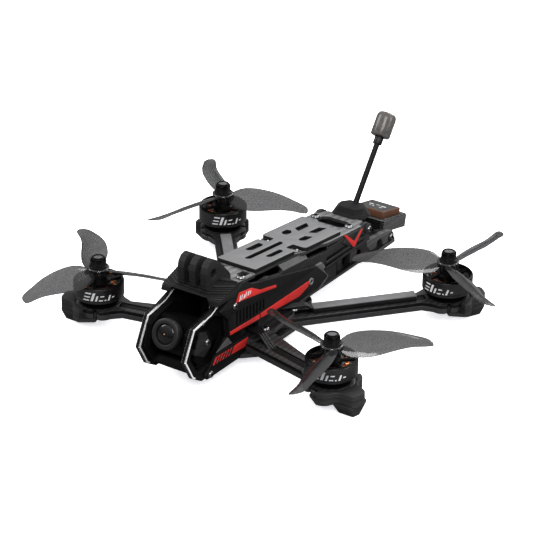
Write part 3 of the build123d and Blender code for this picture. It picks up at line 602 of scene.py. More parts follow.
def nut_shape():
    shape = Piece()
    shape.add(lathe([(2.55, 34.5), (4.7, 34.5), (5.0, 34.75), (5.0, 35.2), (4.7, 35.5), (4.0, 35.7), (2.55,
            35.7)], 48))
    rings = []
    for z, flat, mix in ((35.5, 3.95, 0.0), (38.9, 3.95, 0.0), (39.5, 3.85, 0.35), (40.0, 3.6, 0.8), (40.3,
            3.3, 1.0),
                         (40.45, 2.95, 1.0), (40.45, 2.6, 1.0), (40.1, 2.55, 1.0), (35.5, 2.55, 1.0)):
        rings.append([(*polar(min(hex_radius(a, flat), 4.35) * (1 - mix) + flat * mix, a),
                       z) for a in ring(72)])
    shape.add(skin(rings, wrap=True))
    return shape.verts, shape.faces


NUT = nut_shape()
STUD_TOP = lathe([(0.01, 39.9), (2.0, 39.9), (2.5, 39.5), (2.5, 36), (0.01, 36)], 32, loop=False)

# blade: radius, then side and height of the trailing edge, then side and height of the leading edge
BLADE = [
    (4.4, -3.0, 29.9, 3.2, 33.6), (6.5, -4.5, 29.0, 4.7, 34.5), (9.0, -5.4, 28.5, 5.8, 35.5),
    (12.0, -6.2, 28.25, 6.6, 36.1), (15.0, -6.9, 28.2, 6.85, 36.4), (18.0, -7.35, 28.3, 6.95, 36.5),
    (21.0, -7.45, 28.65, 6.95, 36.4), (24.0, -7.3, 29.05, 6.85, 36.25), (27.0, -7.0, 29.5, 6.45, 36.1),
    (30.0, -6.6, 29.9, 5.9, 35.9), (33.0, -6.15, 30.2, 5.3, 35.6), (36.0, -5.8, 30.5, 4.55, 35.15),
    (39.0, -5.6, 30.75, 3.6, 34.7), (42.0, -5.7, 31.0, 2.6, 34.15), (45.0, -6.1, 31.05, 1.9, 33.5),
    (48.0, -6.7, 31.1, 1.0, 32.9), (50.3, -7.0, 31.2, -0.4, 32.6), (51.7, -7.1, 31.3, -2.0, 32.4),
    (52.6, -6.6, 31.4, -4.0, 32.0),
]


def blade_ring(radius, back, low, front, high, n=16):
    """Closed cambered section from the trailing to the leading edge."""
    thick = 1.15 - 0.8 * radius / 53.3
    side, rise = front - back, high - low
    chord = math.hypot(side, rise)
    upper, lower = [], []
    for k in range(n + 1):
        t = k / n
        swell = 0.5 * thick * (4 * t * (1 - t)) ** 0.5 * (0.7 + 0.6 * t) + 0.03
        arch = 0.075 * chord * 4 * t * (1 - t)
        for line, off in ((upper, arch + swell), (lower, arch - swell)):
            line.append((radius, back + side * t - rise / chord * off, low + rise * t + side / chord * off))
    return upper + lower[::-1]


def propeller_shape(sense):
    shape = Piece()
    blade = skin([blade_ring(*row) for row in BLADE])
    flip_y = Matrix.Diagonal((1, -1, 1, 1)) if sense < 0 else Matrix.Identity(4)
    for k in range(3):
        spin = Matrix.Rotation(math.radians(120 * k), 4, "Z")
        shape.add(blade, 0, spin @ flip_y)
        for extra in (20, 60, 100):
            web = plate([[(3.4, -0.35), (5.9, -0.35), (5.9, 0.35), (3.4, 0.35)]], 29.5, 33.9, 0.08, 0)
            shape.add(web, 0, spin @ Matrix.Rotation(math.radians(extra), 4, "Z"))
    shape.add(lathe([(2.55, 29.0), (3.5, 29.0), (3.7, 29.2), (3.7, 34.3), (3.5, 34.5), (2.55, 34.5)], 48))
    shape.add(lathe([(3.5, 33.2), (5.2, 33.2), (5.9, 33.5), (6.2, 33.9), (6.0, 34.3), (5.4, 34.5), (3.4,
            34.5)], 64))
    return shape.verts, shape.faces


def polar_loop(pairs, per=5):
    """Closed smooth outline from (angle, radius) pairs measured from the arm's outward line."""
    pts = [(*polar(r, math.radians(a)), 0) for a, r in pairs]
    line = smooth_path(pts[-2:] + pts + pts[:2], per)
    return [(p.x, p.y) for p in line[2 * per:-2 * per]][:len(pts) * per]


def both_sides(half):
    """Outline pairs for positive angles, repeated for the negative ones."""
    return half + [(360 - a, r) for a, r in reversed(half) if 0 < a < 180]


BUMPER_HALF = [
    (0, 21.6), (6, 21.7), (12, 21.2), (16, 19.4), (20, 17.2), (25, 15.3), (31, 14.5), (38, 14.4), (44, 15.0),
    (50, 16.0), (57, 16.6), (66, 16.8), (72, 16.5),
]
PAD_SIDE = [
    (0, 12.9), (30, 12.9), (60, 12.9), (74, 12.9), (82, 13.2), (90, 13.1), (97, 12.9), (99.5, 12.6), (100.5,
            11.0),
    (106.5, 11.0), (107.8, 12.8), (112, 14.0), (120, 14.7), (130, 14.8), (139, 14.5), (147, 13.8),
]


def heading(corner):
    sx, sy = CORNERS[corner]
    root = -40.4 if sy < 0 else -32.0
    return math.atan2(sy * MOTOR_Y - root, MOTOR_X)


def corner_frame(corner):
    return (Matrix.Translation((MOTOR_X, CORNERS[corner][1] * MOTOR_Y, 0))
            @ Matrix.Rotation(heading(corner), 4, "Z"))


GUARD_FLOOR = 8.2


def guard_shape(corner):
    """Bumper round the arm's tip, its floor under the arm and the tapered landing foot."""
    shape = Piece()
    half = [(*polar(r, math.radians(a)), 0) for a, r in BUMPER_HALF]
    line = smooth_path([(p[0], -p[1], 0) for p in half[:0:-1]] + half, 5)
    outer = [(p.x, p.y) for p in line]
    inner = [polar(12.95, math.radians(-72 + 144 * k / 48)) for k in range(49)]
    for k in range(5):
        z0 = GUARD_FLOOR + 1.06 * k
        shape.add(plate([outer + inner[::-1]], z0, z0 + 1.06, 0.2 if k < 4 else 0.3))
    for z0 in (6.4, 7.3):
        shape.add(plate([outer + [(-3.0, 12.4), (-3.0, -12.4)]], z0, z0 + 0.9, 0.2))
    low = rounded([(10.4, -4.8), (19.4, -2.6), (19.4, 2.6), (10.4, 4.8)], 0.9, 5)
    high = rounded([(9.2, -9.6), (20.6, -6.4), (20.6, 6.4), (9.2, 9.6)], 2.4, 5)
    rings = []
    for z, t in ((7.4, 1.0), (6.4, 0.98), (3.3, 0.5), (0.5, 0.06), (0.12, 0.0), (0.0, -0.05)):
        rings.append([(a[0] + (b[0] - a[0]) * t, a[1] + (b[1] - a[1]) * t, z) for a, b in zip(low, high)])
    shape.add(skin(rings[::-1]))
    return shape.placed(corner_frame(corner), CORNERS[corner][0] < 0)


ARM_ROOTS = {
    -1: [(22.0, -33.2), (3.2, -33.2), (3.2, -50.0), (21.0, -52.4)],
    1: [(3.2, -17.6), (3.2, -32.4), (9.0, -32.4)],
}


def arm_shape(corner):
    """Thick carbon arm: motor pad with slots, two top rails and the wire channel between them."""
    sx, sy = CORNERS[corner]
    frame_at = corner_frame(corner)
    back = frame_at.inverted()
    pad = polar_loop(both_sides(PAD_SIDE), 3)
    pad = [p for p in pad if not (p[0] < -11.5 and abs(p[1]) < 8.6)]      # open where the arm joins
    pad.sort(key=lambda p: math.atan2(p[1], p[0]))
    root = [tuple((back @ Vector((x, y, 0))).xy) for x, y in ARM_ROOTS[sy]]
    outline = pad + [(-16.5, 6.0)] + root + [(-16.5, -6.0)]
    reach = -min(p[0] for p in root) - (9 if sy < 0 else 12)
    channel = rounded([(-12.6, -2.6), (-12.6, 2.6), (-reach, 2.6), (-reach, -2.6)], 1.0)
    holes = [circle(1.5, *polar(MOTOR_BOLT_R, math.radians(45 + 90 * k)), 18) for k in range(4)]
    shape = Piece()
    shelf = ARM_HIGH - CHANNEL_DEPTH
    shape.add(plate([outline, circle(2.6)] + holes, ARM_LOW, shelf, 0.18, 0))
    shape.add(plate([outline, circle(2.6), channel] + holes, shelf, ARM_HIGH, 0.28))
    # painted shade: the upper layer's side faces, the wire channel's walls among them, take the near-black
    # finish
    shape.recolour(0, 1, lambda centre, normal: centre.z > shelf + 0.1 and abs(normal.z) < 0.5)
    return shape.placed(frame_at, sx < 0)


ALL_COILS = Piece()
for corner, (sx, sy) in CORNERS.items():
    blade_angle, sense = BLADE_ANGLES[corner]
    body = f"rotor_{corner}"
    here = Matrix.Translation((sx * MOTOR_X, sy * MOTOR_Y, 0))
    spun = here @ Matrix.Rotation(math.radians(blade_angle), 4, "Z")
    marked = here @ Matrix.Rotation(math.radians(MARK_ANGLES[corner]), 4, "Z")
    rotor = Piece().add((BELL.verts, BELL.faces), 0, spun)
    centre_line = here.translation
    # painted sheen: the outer wall faces move to the lighter metallic copy of the bell finish
    rotor.recolour(0, 2, lambda at,
                   normal: abs(normal.z) < 0.3 and (at.xy - centre_line.xy).length > BELL_R - 0.5)
    rotor.add(MARKS, 1, marked)
    rotor.add(MARKS, 1, marked @ Matrix.Rotation(math.pi, 4, "Z"))
    rotor.make(f"bell_{corner}", ["bell", "mark", "bell_side_sheen"], body, [f"motor_bell_{corner}"], "motor_black")
    Piece().add(NUT, 0, spun).add(STUD_TOP, 1, spun).make(
        f"nut_{corner}", ["nut", "nylon"], body, [f"prop_nut_{corner}"], "nut")
    Piece().add(propeller_shape(sense), 0, spun).make(
        f"prop_{corner}", ["prop"], body, [f"propeller_{corner}"], "prop", angle=50)
    base = Piece()
    base.add(lathe([(4.5, 13.55), (10.6, 13.55), (10.9, 13.8), (10.9, 14.8), (10.4, 15.0), (10.4, 15.4),
                    (10.9, 15.7),
                    (11.6, 16.4), (11.6, 17.0), (11.4, 17.3), (4.5, 17.3)], 72), 0, here)
    base.add(lathe([(4.5, 17.0), (5.5, 17.0), (5.5, 24.1), (5.2, 24.4), (4.5, 24.4)], 40), 0, here)
    base.make(f"base_{corner}", ["base"], "airframe", [f"motor_base_{corner}"], "motor_black")
    guard_shape(corner).make(f"guard_{corner}", ["tpu_guard"], "airframe", [f"arm_guard_{corner}"], "tpu",
                             angle=40)
    arm_shape(corner).make(f"arm_beam_{corner}", ["carbon_arm", "black"], "airframe", [f"arm_{corner}"],
                           "carbon")
    for k in range(12):
        stand = here @ Matrix.Rotation(math.radians(30 * k), 4, "Z") @ Matrix.Translation((8.1, 0, 21.0)) @ YZ
        ALL_COILS.add(COIL_SHAPE, 0, stand)
bars = Piece()
for corner in ("rear_left", "rear_right"):
    sx = CORNERS[corner][0]
    for slot, far, near, half, z0, z1 in ((1, -78, -18.7, 3.4, ARM_HIGH, 16.2), (0, -77.7, -18.5, 3.1, 14.6,
            16.7)):
        outline = rounded([(far, -half), (near, -half), (near, half), (far, half)], 0.6 if slot else 0.5)
        bars.add(plate([outline], z0, z1, 0.25 if slot else 0.2), slot, corner_frame(corner), flip=sx < 0)
bars.make("arm_light_bars", ["strip", "wire"], "airframe", ["light_strips"], "strip")
ALL_COILS.make("coils", ["copper"], "airframe", ["windings"], "copper")


# ---- deck pad --------------------------------------------------------------------------
PAD_SLOTS = [
    [(-8.6, -21.2), (-6.6, -21.2), (-4.9, -19.0), (-4.9, -9.6), (-6.0, -8.2), (-8.6, -8.2)],
    [(-1.4, -32.0), (0.2, -32.0), (1.4, -30.4), (1.4, 0.4), (0.2, 2.0), (-1.4, 2.0)],
    [(5.2, -21.8), (6.8, -21.8), (8.2, -20.0), (8.2, -9.6), (7.0, -8.2), (5.2, -8.2)],
    [(-9.0, 15.0), (-6.8, 12.8), (-4.6, 13.4), (-4.2, 17.4), (-6.2, 20.4), (-8.8, 19.8)],
    [(-6.8, 25.0), (-3.0, 22.6), (-3.0, 33.0), (-6.8, 36.6)],
    [(2.2, 24.6), (6.0, 27.4), (6.0, 38.0), (2.2, 35.4)],
    [(4.0, 12.4), (5.8, 11.0), (7.8, 13.4), (7.8, 21.0), (4.0, 18.8)],
]
PAD_OUTLINE = [
    (-12.6, -42.0), (12.6, -42.0), (12.6, -4.4), (12.0, -3.3), (6.2, -3.3), (6.2, 3.3), (13.0, 3.3), (14.6,
            4.8),
    (14.6, 39.4), (-14.2, 44.2), (-14.6, 43.6), (-14.6, 4.8), (-13.0, 3.3), (-6.2, 3.3), (-6.2, -3.3),
    (-12.0, -3.3),
    (-12.6, -4.4),
]
DECK_HALF = [
    (9.0, -65.6), (13.3, -60.6), (13.3, -43.0), (12.3, -41.8), (12.3, -2.6), (14.3, 3.5), (14.3, 18.0),
    (15.8, 24.0),
    (15.8, 42.0), (15.4, 60.0), (11.4, 67.0),
]
REAR_SLOT = [(-9.2, 51.0), (-6.6, 48.6), (6.6, 48.6), (9.2, 51.0), (9.2, 57.0), (6.6, 59.4), (-6.6, 59.4),
             (-9.2, 57.0)]
deck = Piece()
cuts = [rounded(c, 0.5, 3) for c in PAD_SLOTS] + [rounded(REAR_SLOT, 1.2)]
for s in (1, -1):
    cuts.append([(s * 5.6, -49.8), (s * 10.6, -49.8), (s * 10.6, -43.6), (s * 5.6, -43.6)])
    cuts += [circle(1.6, s * x, v, 20) for x, v in DECK_SCREWS]
outline = DECK_HALF + [(-x, v) for x, v in reversed(DECK_HALF)]
# painted sheen: the deck plate takes the lightened carbon copy
deck.add(plate([rounded(outline, 0.8)] + cuts, -PAD_T - DECK_T, -PAD_T, 0.15), 0, DECK)
# painted shade: a dark sheet under the rear slot, standing in for the shadowed space seen through it
deck.add(plate([rounded([(-13.2, 43.0), (13.2, 43.0), (13.2, 66.5), (-13.2, 66.5)], 1.0)], -7.0, -5.4, 0.2),
         1, DECK)
deck.make("deck_plate", ["carbon_top_sheen", "case"], "airframe", ["top_plate"], "carbon")

pad = Piece()
pad.add(plate([rounded(PAD_OUTLINE, 1.2)] + [rounded(s, 0.5, 3) for s in PAD_SLOTS], -PAD_T, 0, 0.2), 0, DECK)
up = DECK.to_3x3() @ Vector((0, 0, 1))
# painted shade: the pad's side faces take the near-black copy, the top keeps the grey one
pad.recolour(0, 1, lambda centre, normal: abs(normal.dot(up)) < 0.75)
pad.make("grip_pad", ["pad", "pad_shaded_sides"], "airframe", ["battery_pad"], "pad")


# ---- camera plates and side panels ------------------------------------------------------
PLATE_OUTLINE = [
    (-58.0, 7.0), (-58.0, 15.6), (-50.0, 15.6), (-50.0, 22.0), (-46.2, 22.0), (-46.2, 45.9), (-58.0, 47.2),
    (-60.8, 47.5), (-61.6, 51.3), (-77.5, 44.8), (-87.5, 41.7), (-96.7, 40.0), (-104.8, 24.1), (-98.1, 11.9),
    (-90.0, 7.0),
]
PLATE_WINDOW = [
    (-97.2, 35.0), (-93.6, 37.2), (-78.5, 40.6), (-70.5, 37.0), (-68.5, 24.0), (-78.0, 14.6), (-93.5, 13.8),
    (-99.8, 23.6),
]
WINDOW_BACK = [
    (-98.2, 35.8), (-93.8, 38.4), (-78.0, 41.8), (-69.3, 37.6), (-67.3, 23.6), (-77.6, 13.4), (-94.0, 12.6),
    (-101.0, 23.6),
]
FRONT_EDGE = [
    (-74.0, 46.3), (-77.5, 44.8), (-81.6, 42.9), (-84.0, 42.6), (-87.5, 41.7), (-92.0, 40.9), (-96.7, 40.0),
    (-100.8, 32.0), (-104.8, 24.1), (-101.4, 18.0), (-98.1, 11.9), (-94.0, 9.4), (-90.0, 7.0),
]
RAIL = [
    (-87.2, 7.0), (-56.8, 7.0), (-56.8, 8.4), (-52.0, 8.4), (-47.6, 16.8), (-79.8, 18.0), (-84.6, 13.4),
    (-88.9, 9.8),
]
HATCH = [(-82.6, 13.3), (-79.6, 17.1), (-64.9, 16.6), (-49.6, 16.4), (-52.5, 11.6), (-64.6, 12.5)]
FACET = [(-77.9, 18.0), (-66.8, 23.0), (-62.6, 17.8)]
EAR = [(-91.0, 35.8), (-85.9, 34.5), (-81.6, 24.4), (-88.2, 20.6), (-96.3, 24.8)]
PANEL = [
    (-76.2, 42.1), (-68.3, 34.6), (-67.5, 24.4), (-40.0, 21.9), (-0.9, 18.4), (26.3, 20.4), (15.6, 31.5),
    (-34.8, 43.8), (-46.4, 46.7), (-52.6, 50.6), (-55.0, 50.8),
]
STRIPE_A = [(-67.2, 24.9), (-67.6, 27.0), (-40.3, 25.9), (-39.9, 23.2)]
STRIPE_B = [(-39.1, 23.1), (-39.5, 25.9), (7.9, 26.0), (6.8, 22.9), (-2.0, 20.4)]
LABEL = [
    (-62.3, 41.8), (-59.4, 46.8), (-47.9, 45.0), (-39.8, 40.4), (-24.9, 37.2), (-24.5, 35.4), (-52.5, 40.4),
]


def edge_ribbon(points, x_edge, inward):
    """Bright chamfer along one edge of the front face: x of the edge and the way to the face's middle."""
    verts, faces = [], []
    n = len(points)
    for i, (y, z) in enumerate(points):
        a, b = Vector(points[max(i - 1, 0)]), Vector(points[min(i + 1, n - 1)])
        along = (b - a).normalized()
        out = Vector((along.y, -along.x))
        if out.dot(Vector((-1, 0.2))) < 0:
            out = -out
        for x, push in ((x_edge + 0.34 * inward, 0.03), (x_edge - 0.05 * inward, -0.36),
                        (x_edge - 0.05 * inward, -1.25)):
            q = Vector((y, z)) + out * push
            verts.append((x, q.x, q.y))
    for i in range(n - 1):
        for k in range(2):
            face = [3 * i + k, 3 * i + k + 1, 3 * i + 4 + k, 3 * i + 3 + k]
            faces.append(face if inward < 0 else face[::-1])
    return verts, faces


def vent_slots():
    slots = []
    for k in range(9):
        y = -61.2 + 3.1 * k
        zt, zb = 36.4 - 0.42 * k, 27.8 - 0.12 * k
        slots.append(rounded([(y - 0.55, zb), (y + 0.95, zb), (y + 0.75, zt), (y - 0.75, zt)], 0.3, 2))
    return slots


def side_marks():
    """Pale generic ticks on the red label."""
    shape = Piece()
    for k, (wide, tall) in enumerate(((1.0, 3.2), (0.7, 3.2), (1.2, 2.2), (0.7, 3.0), (1.0, 2.6), (0.8,
            2.0))):
        y = -59.6 + 1.9 * k
        z = 41.6 + 0.05 * k
        loop = [(y, z), (y + wide, z + 0.1), (y + wide + 0.9, z + tall), (y + 0.9, z + tall - 0.1)]
        shape.add(plate([loop], PANEL_OUT + 0.36, PANEL_OUT + 0.48, 0.03, 0), 0, YZ)
    return shape.verts, shape.faces


WALL = [
    (-45.9, 43.0), (-45.9, 22.0), (-38.0, 22.0), (-38.0, 15.5), (-20.8, 15.5), (-20.8, 19.8), (-8.6, 19.8),
    (-8.6, 15.5),
    (66.5, 15.5), (75.0, 16.6), (78.4, 17.0), (72.6, 25.4), (72.0, 28.6), (73.8, 31.6), (73.4, 34.4), (70.6,
            36.2),
    (66.9, 36.8), (62.0, 35.2), (48.0, 36.2), (31.5, 36.2), (29.8, 34.9), (12.2, 37.0), (8.9, 38.5), (-14.8,
            40.8),
    (-17.0, 39.8), (-25.5, 41.4), (-29.0, 43.0),
]
WALL_WINDOW = [(38.9, 23.4), (58.4, 24.8), (64.0, 21.0), (62.0, 15.9), (38.2, 15.9)]
WALL_FACETS = [
    ([(12.9, -15.2, 43.4), (12.9, 10.3, 40.6)], [(16.05, -14.8, 40.7), (16.05, 8.9, 38.4)], 1),
    ([(12.9, 31.3, 37.8), (12.9, 46.0, 36.4)], [(16.05, 30.0, 34.8), (16.05, 49.0, 35.6)], 0),
]
WALL_RIBS = [
    [(27.0, 27.6), (66.5, 28.4), (67.0, 29.6), (27.0, 29.2)],
    [(26.4, 24.4), (67.1, 25.4), (67.1, 26.6), (26.4, 25.8)],
    [(44.0, 33.6), (54.0, 26.9), (57.0, 26.9), (66.0, 34.6), (62.0, 36.0), (55.0, 30.6), (47.0, 36.0)],
]
TAIL_TICK = [(44.2, 38.4), (46.6, 38.0), (55.4, 30.6), (62.0, 35.6), (63.8, 35.1), (56.0, 27.2), (54.2, 27.4)]
WALL_RECESS_SHADE = [(28.2, 31.2), (27.0, 25.3), (66.8, 25.8), (66.8, 31.0)]
WALL_GLINT = [(15.2, 31.6), (21.5, 31.4), (24.6, 27.5), (22.2, 25.4)]
PANEL_EDGE_GLINT = [(22.0, 25.4), (26.5, 20.9), (18.3, 16.3), (18.6, 15.9), (27.2, 20.9), (22.6, 25.9)]


def facet(top_line, low_line):
    """Thin sloping panel between an upper and a lower line of (x, y, z) points."""
    inset = Vector((-0.8, 0, -0.8))
    outer = [Vector(p) for p in top_line + low_line[::-1]]
    verts = [tuple(p) for p in outer] + [tuple(p + inset) for p in outer]
    n = len(outer)
    faces = [list(range(n)), [n + k for k in range(n)][::-1]]
    faces += [[k, n + k, n + (k + 1) % n, (k + 1) % n] for k in range(n)]
    return verts, [f[::-1] for f in faces]


def in_window(centre, normal):
    """Inner faces of the wall's window."""
    return 37 < centre.y < 65 and 15.7 < centre.z < 25 and abs(normal.x) < 0.6


for side, flip in (("left", False), ("right", True)):
    cheek = Piece()
    cheek.add(plate([rounded(PLATE_OUTLINE, 1.2), rounded(PLATE_WINDOW, 2.0)], CHEEK_IN, CHEEK_OUT, 0.4), 0,
              YZ, flip)
    cheek.add(plate([rounded(WINDOW_BACK, 2.0)], CHEEK_IN - 0.9, CHEEK_IN, 0.15), 0, YZ, flip)
    cheek.add(plate([rounded(RAIL, 0.8)], CHEEK_OUT, 17.6, 0.4), 0, YZ, flip)
    cheek.add(plate([rounded(HATCH, 0.4)], 17.5, 17.8, 0.1), 2, YZ, flip)
    for k in range(6):
        low = -81.3 + 2.75 * k
        bar = [(low, 13.0), (low + 1.15, 12.95), (low + 4.2, 16.8), (low + 3.05, 16.85)]
        cheek.add(plate([bar], 17.72, 18.0, 0.05, 0), 0, YZ, flip)
    cheek.add(plate([rounded(FACET, 0.4)], 15.9, 16.25, 0.1), 3, YZ, flip)
    for edge_x, inward in ((CHEEK_IN, 1), (CHEEK_OUT, -1)):
        cheek.add(edge_ribbon(FRONT_EDGE[:9], edge_x, inward), 1, None, flip)
        cheek.add(edge_ribbon([(-104.4, 23.4)] + FRONT_EDGE[9:11] + [(-96.0, 10.6)], edge_x, inward), 1,
                  None, flip)
    cheek.make(f"cheek_{side}", ["black", "edge", "red", "facet"], "airframe", [f"camera_plate_{side}"],
               "black_aluminium")
    Piece().add(plate([rounded(EAR, 1.0)], 13.4, 16.3, 0.5), 0, YZ, flip).make(f"camera_ear_{side}", ["tpu"])

    panel = Piece()
    # painted shade: a near-black back layer behind the vent slots, standing in for the shade seen through
    # them
    panel.add(plate([rounded(PANEL, 0.8)], CHEEK_OUT, 17.3, 0.1), 1, YZ, flip)
    panel.add(plate([rounded(PANEL, 0.8)] + vent_slots(), 17.2, PANEL_OUT, 0.3), 0, YZ, flip)
    for loop in (STRIPE_A, STRIPE_B, LABEL):
        panel.add(plate([rounded(loop, 0.4)], PANEL_OUT - 0.1, PANEL_OUT + 0.35, 0.15), 2, YZ, flip)
    panel.add(side_marks(), 3, None, flip)
    panel.make(f"panel_{side}", ["shell", "socket", "red", "mark"], "airframe", [f"side_panel_{side}"],
               "side_shell")
    wall = Piece()
    wall.add(plate([rounded(WALL, 0.5), rounded(WALL_WINDOW, 0.8)], CHEEK_IN, CHEEK_OUT, 0.3), 0, YZ, flip)
    for top_line, low_line, paint in WALL_FACETS:
        wall.add(facet(top_line, low_line), paint, None, flip)
    # painted shade: a near-black sheet on the wall between the ribs, where the recess lies in shadow
    wall.add(plate([rounded(WALL_RECESS_SHADE, 0.4)], 15.8, 16.15, 0.1), 4, YZ, flip)
    for rib in WALL_RIBS:
        wall.add(plate([rounded(rib, 0.4)], 15.8, 16.8, 0.25), 0, YZ, flip)
    # painted highlights: a pale glint patch and a thin bright line along the panel's edge
    wall.add(plate([rounded(WALL_GLINT, 0.3)], 15.9, 17.6, 0.15), 2, YZ, flip)
    wall.add(plate([PANEL_EDGE_GLINT], 17.2, 18.2, 0.1), 2, YZ, flip)
    # painted shade: the inner faces of the wall's window take the near-black material
    wall.recolour(0, 4, in_window)
    wall.add(plate([circle(3.1, *WALL_SCREW, 36)], 15.8, 16.8, 0.3), 0, YZ, flip)
    wall.add(lathe([(1.1, 0.0), (2.1, 0.0), (2.1, 0.5), (1.8, 0.7), (1.3, 0.7), (1.1, 0.5)], 36), 3,
             Matrix.Translation((PANEL_OUT, 9.4, 24.8)) @ Matrix.Rotation(math.radians(90), 4, "Y"), flip)
    wall.make(f"wall_{side}", ["shell_grey", "shell_light", "facet", "ring", "case"], "airframe",
              [f"side_wall_{side}"],
              "side_shell")
    tick = Piece().add(plate([rounded(TAIL_TICK, 0.3)], 16.6, 17.0, 0.12), 0, YZ, flip)
    tick.make(f"tail_tick_{side}", ["red"], "airframe", (), "side_shell")


# ---- printed nose mount ------------------------------------------------------------------
def band(value, low, high):
    return min(max(value, low), high)


nose = Piece()
LAYER = 0.55
for k in range(15):
    z0 = 46.4 + LAYER * k
    z = z0 + LAYER / 2
    outer = -79.5 + (z - 46.8) * 0.78 if z < 49.1 else -77.7 + (z - 49.1) / 0.30
    inner = -78.9 if z < 50.4 else -78.6 + (z - 50.4) / 0.30
    half = band(18.3 + (z - 46.8) * 0.2, 18.2, 18.8)
    if z < 49.9:
        hollow = 12.9 - (z - 46.8) * 0.55
        for s in (1, -1):
            leg = [(hollow, inner), (half - 0.7, outer), (half, outer + 0.9), (half, -62.0), (hollow, -62.0)]
            nose.add(plate([[(s * x, y) for x, y in leg]], z0, z0 + LAYER, 0.12), 0)
        continue
    reach = -57.5 if z < 52.0 else -61.0
    outer = band(outer, -80, -62.4)
    inner = band(inner, -80, -62.0)
    loop = [(-half, -61.8), (-half, outer + 0.6), (-half + 0.9, outer), (-10.8, inner), (10.8, inner),
            (half - 0.9, outer),
            (half, outer + 0.6), (half, -61.8), (9.6, -61.8), (9.6, reach), (-9.6, reach), (-9.6, -61.8)]
    nose.add(plate([loop], z0, z0 + LAYER, 0.12), 0)
FINGER = [
    (-75.2, 50.2), (-76.1, 53.0), (-76.4, 61.2), (-75.6, 64.6), (-73.2, 67.2), (-69.6, 67.9), (-65.2, 65.2),
    (-56.2, 55.6),
    (-54.6, 53.6), (-54.0, 49.4), (-64.0, 48.6),
]
for x in (-7.3, 0.0, 7.3):
    nose.add(plate([rounded(FINGER, 1.3, 5), circle(2.5, -69.9, 59.6, 28)], x - 2.0, x + 2.0, 0.35, 2), 0, YZ)
nose.make("nose_saddle", ["tpu"], "airframe", ["nose_mount"], "tpu", angle=40)

posts = Piece()
ARCH = [
    (-13.5, 10.2), (-12.0, 11.4), (-7.0, 12.3), (0.0, 12.6), (7.0, 12.3), (12.0, 11.4), (13.5, 10.2), (13.5,
            15.2),
    (12.0, 16.0), (7.0, 16.6), (0.0, 16.9), (-7.0, 16.6), (-12.0, 16.0), (-13.5, 15.2),
]
posts.add(plate([ARCH], 90.4, 93.4, 0.4), 0, XZ)
posts.add(plate([rounded([(-13.4, -90.0), (13.4, -90.0), (13.4, -56.0), (-13.4, -56.0)], 1.0)], 8.6, 10.8,
                0.2), 0)
for x, v in DECK_SCREWS:
    for s in (1, -1):
        at = DECK @ Matrix.Translation((s * x, v, 0))
        foot_z = -(at.translation.z - 15.5) / math.cos(DECK_TILT)
        posts.add(lathe([(0.01, foot_z), (2.2, foot_z), (2.25, foot_z + 0.3), (2.25, -4.4), (0.01, -4.3)],
                        32, loop=False), 0, at)
posts.make("standoff_set", ["black"], "airframe", ["standoffs"], "black_aluminium")


# ---- screws ------------------------------------------------------------------------------
def screw_head(radius, height):
    """Button head with a hexagon socket: the outside and the inside of the socket."""
    outer, n = [], 48
    for share, rise in ((0.96, 0.0), (1.0, 0.08), (1.0, 0.3), (0.93, 0.62), (0.8, 0.86), (0.66, 0.98), (0.6,
            1.0)):
        outer.append([(*polar(share * radius, a), rise * height) for a in ring(n)])
    inner = []
    for rise in (1.0, 0.94, 0.3):
        flat = radius * (0.48 if rise == 1.0 else 0.44)
        inner.append([(*polar(hex_radius(a, flat), a), rise * height) for a in ring(n)])
    shell = skin(outer + inner[:1], closed_ends=False)
    shell[1].append(list(range(n))[::-1])
    well = skin(inner, closed_ends=False)
    well[1].append([2 * n + k for k in range(n)])
    return shell, well


screws = Piece()
HEAD = screw_head(1.0, 1.0)


def put_screw(at, radius, height):
    size = Matrix.Diagonal((radius, radius, height, 1))
    for k, shape in enumerate(HEAD):
        screws.add(shape, k, at @ size)


ALONG_X = Matrix.Rotation(math.radians(90), 4, "Y")
for s in (1, -1):
    for x, v in DECK_SCREWS:
        put_screw(DECK @ Matrix.Translation((s * x, v, -PAD_T)), 2.5, 1.5)
    for y in (-36.5, -8.9):
        put_screw(Matrix.Translation((s * 19.4, y, 15.5)), 2.5, 1.5)
    turn = ALONG_X if s > 0 else Matrix.Rotation(math.radians(180), 4, "Z") @ ALONG_X
    for x, y, z, radius, height in (
            (18.0, -63.1, 40.5, 1.9, 1.3), (17.6, -84.6, 9.4, 2.0, 1.4), (16.3, -85.6, 28.3, 1.8, 1.1),
            (16.0, -88.6, 40.0, 0.85, 0.7), (16.8, *WALL_SCREW, 1.9, 1.2), (16.4, *TAIL_SCREW, 1.9, 1.2)):
        put_screw(Matrix.Translation((s * x, y, z)) @ turn, radius, height)
# painted shade: the inside of each hex socket takes the near-black material, darker than the steel head
screws.make("frame_screw_set", ["steel", "socket"], "airframe", ["frame_screws"], "steel")


# ---- camera ----------------------------------------------------------------------------
lens = Piece()
TO_LENS = CAM_TILT @ Matrix.Rotation(math.radians(90), 4, "X")      # local +Z looks forward, -Y
TO_LENS = TO_LENS @ Matrix.Translation((0, 0.75, 0))
lens.add(lathe([(0.01, 5.0), (6.2, 5.0), (6.2, 9.4), (7.4, 9.9), (7.5, 10.2), (7.5, 12.6), (7.2, 12.75),
                (7.2, 13.05),
                (8.1, 13.2), (8.35, 13.5), (8.35, 15.0), (8.15, 15.5), (7.6, 15.8), (6.1, 15.9), (5.75,
                        15.75),
                (5.6, 15.3), (5.5, 14.4), (0.01, 14.4)], 96, loop=False), 0, TO_LENS)
dome = [(0.01, 16.05)] + [(5.55 * math.sin(t),
                           14.4 + 1.65 * math.cos(t)) for t in [0.1 * k for k in range(1, 15)]]
lens.add(lathe(dome + [(5.5, 14.0), (0.01, 14.0)], 72, loop=False), 1, TO_LENS)
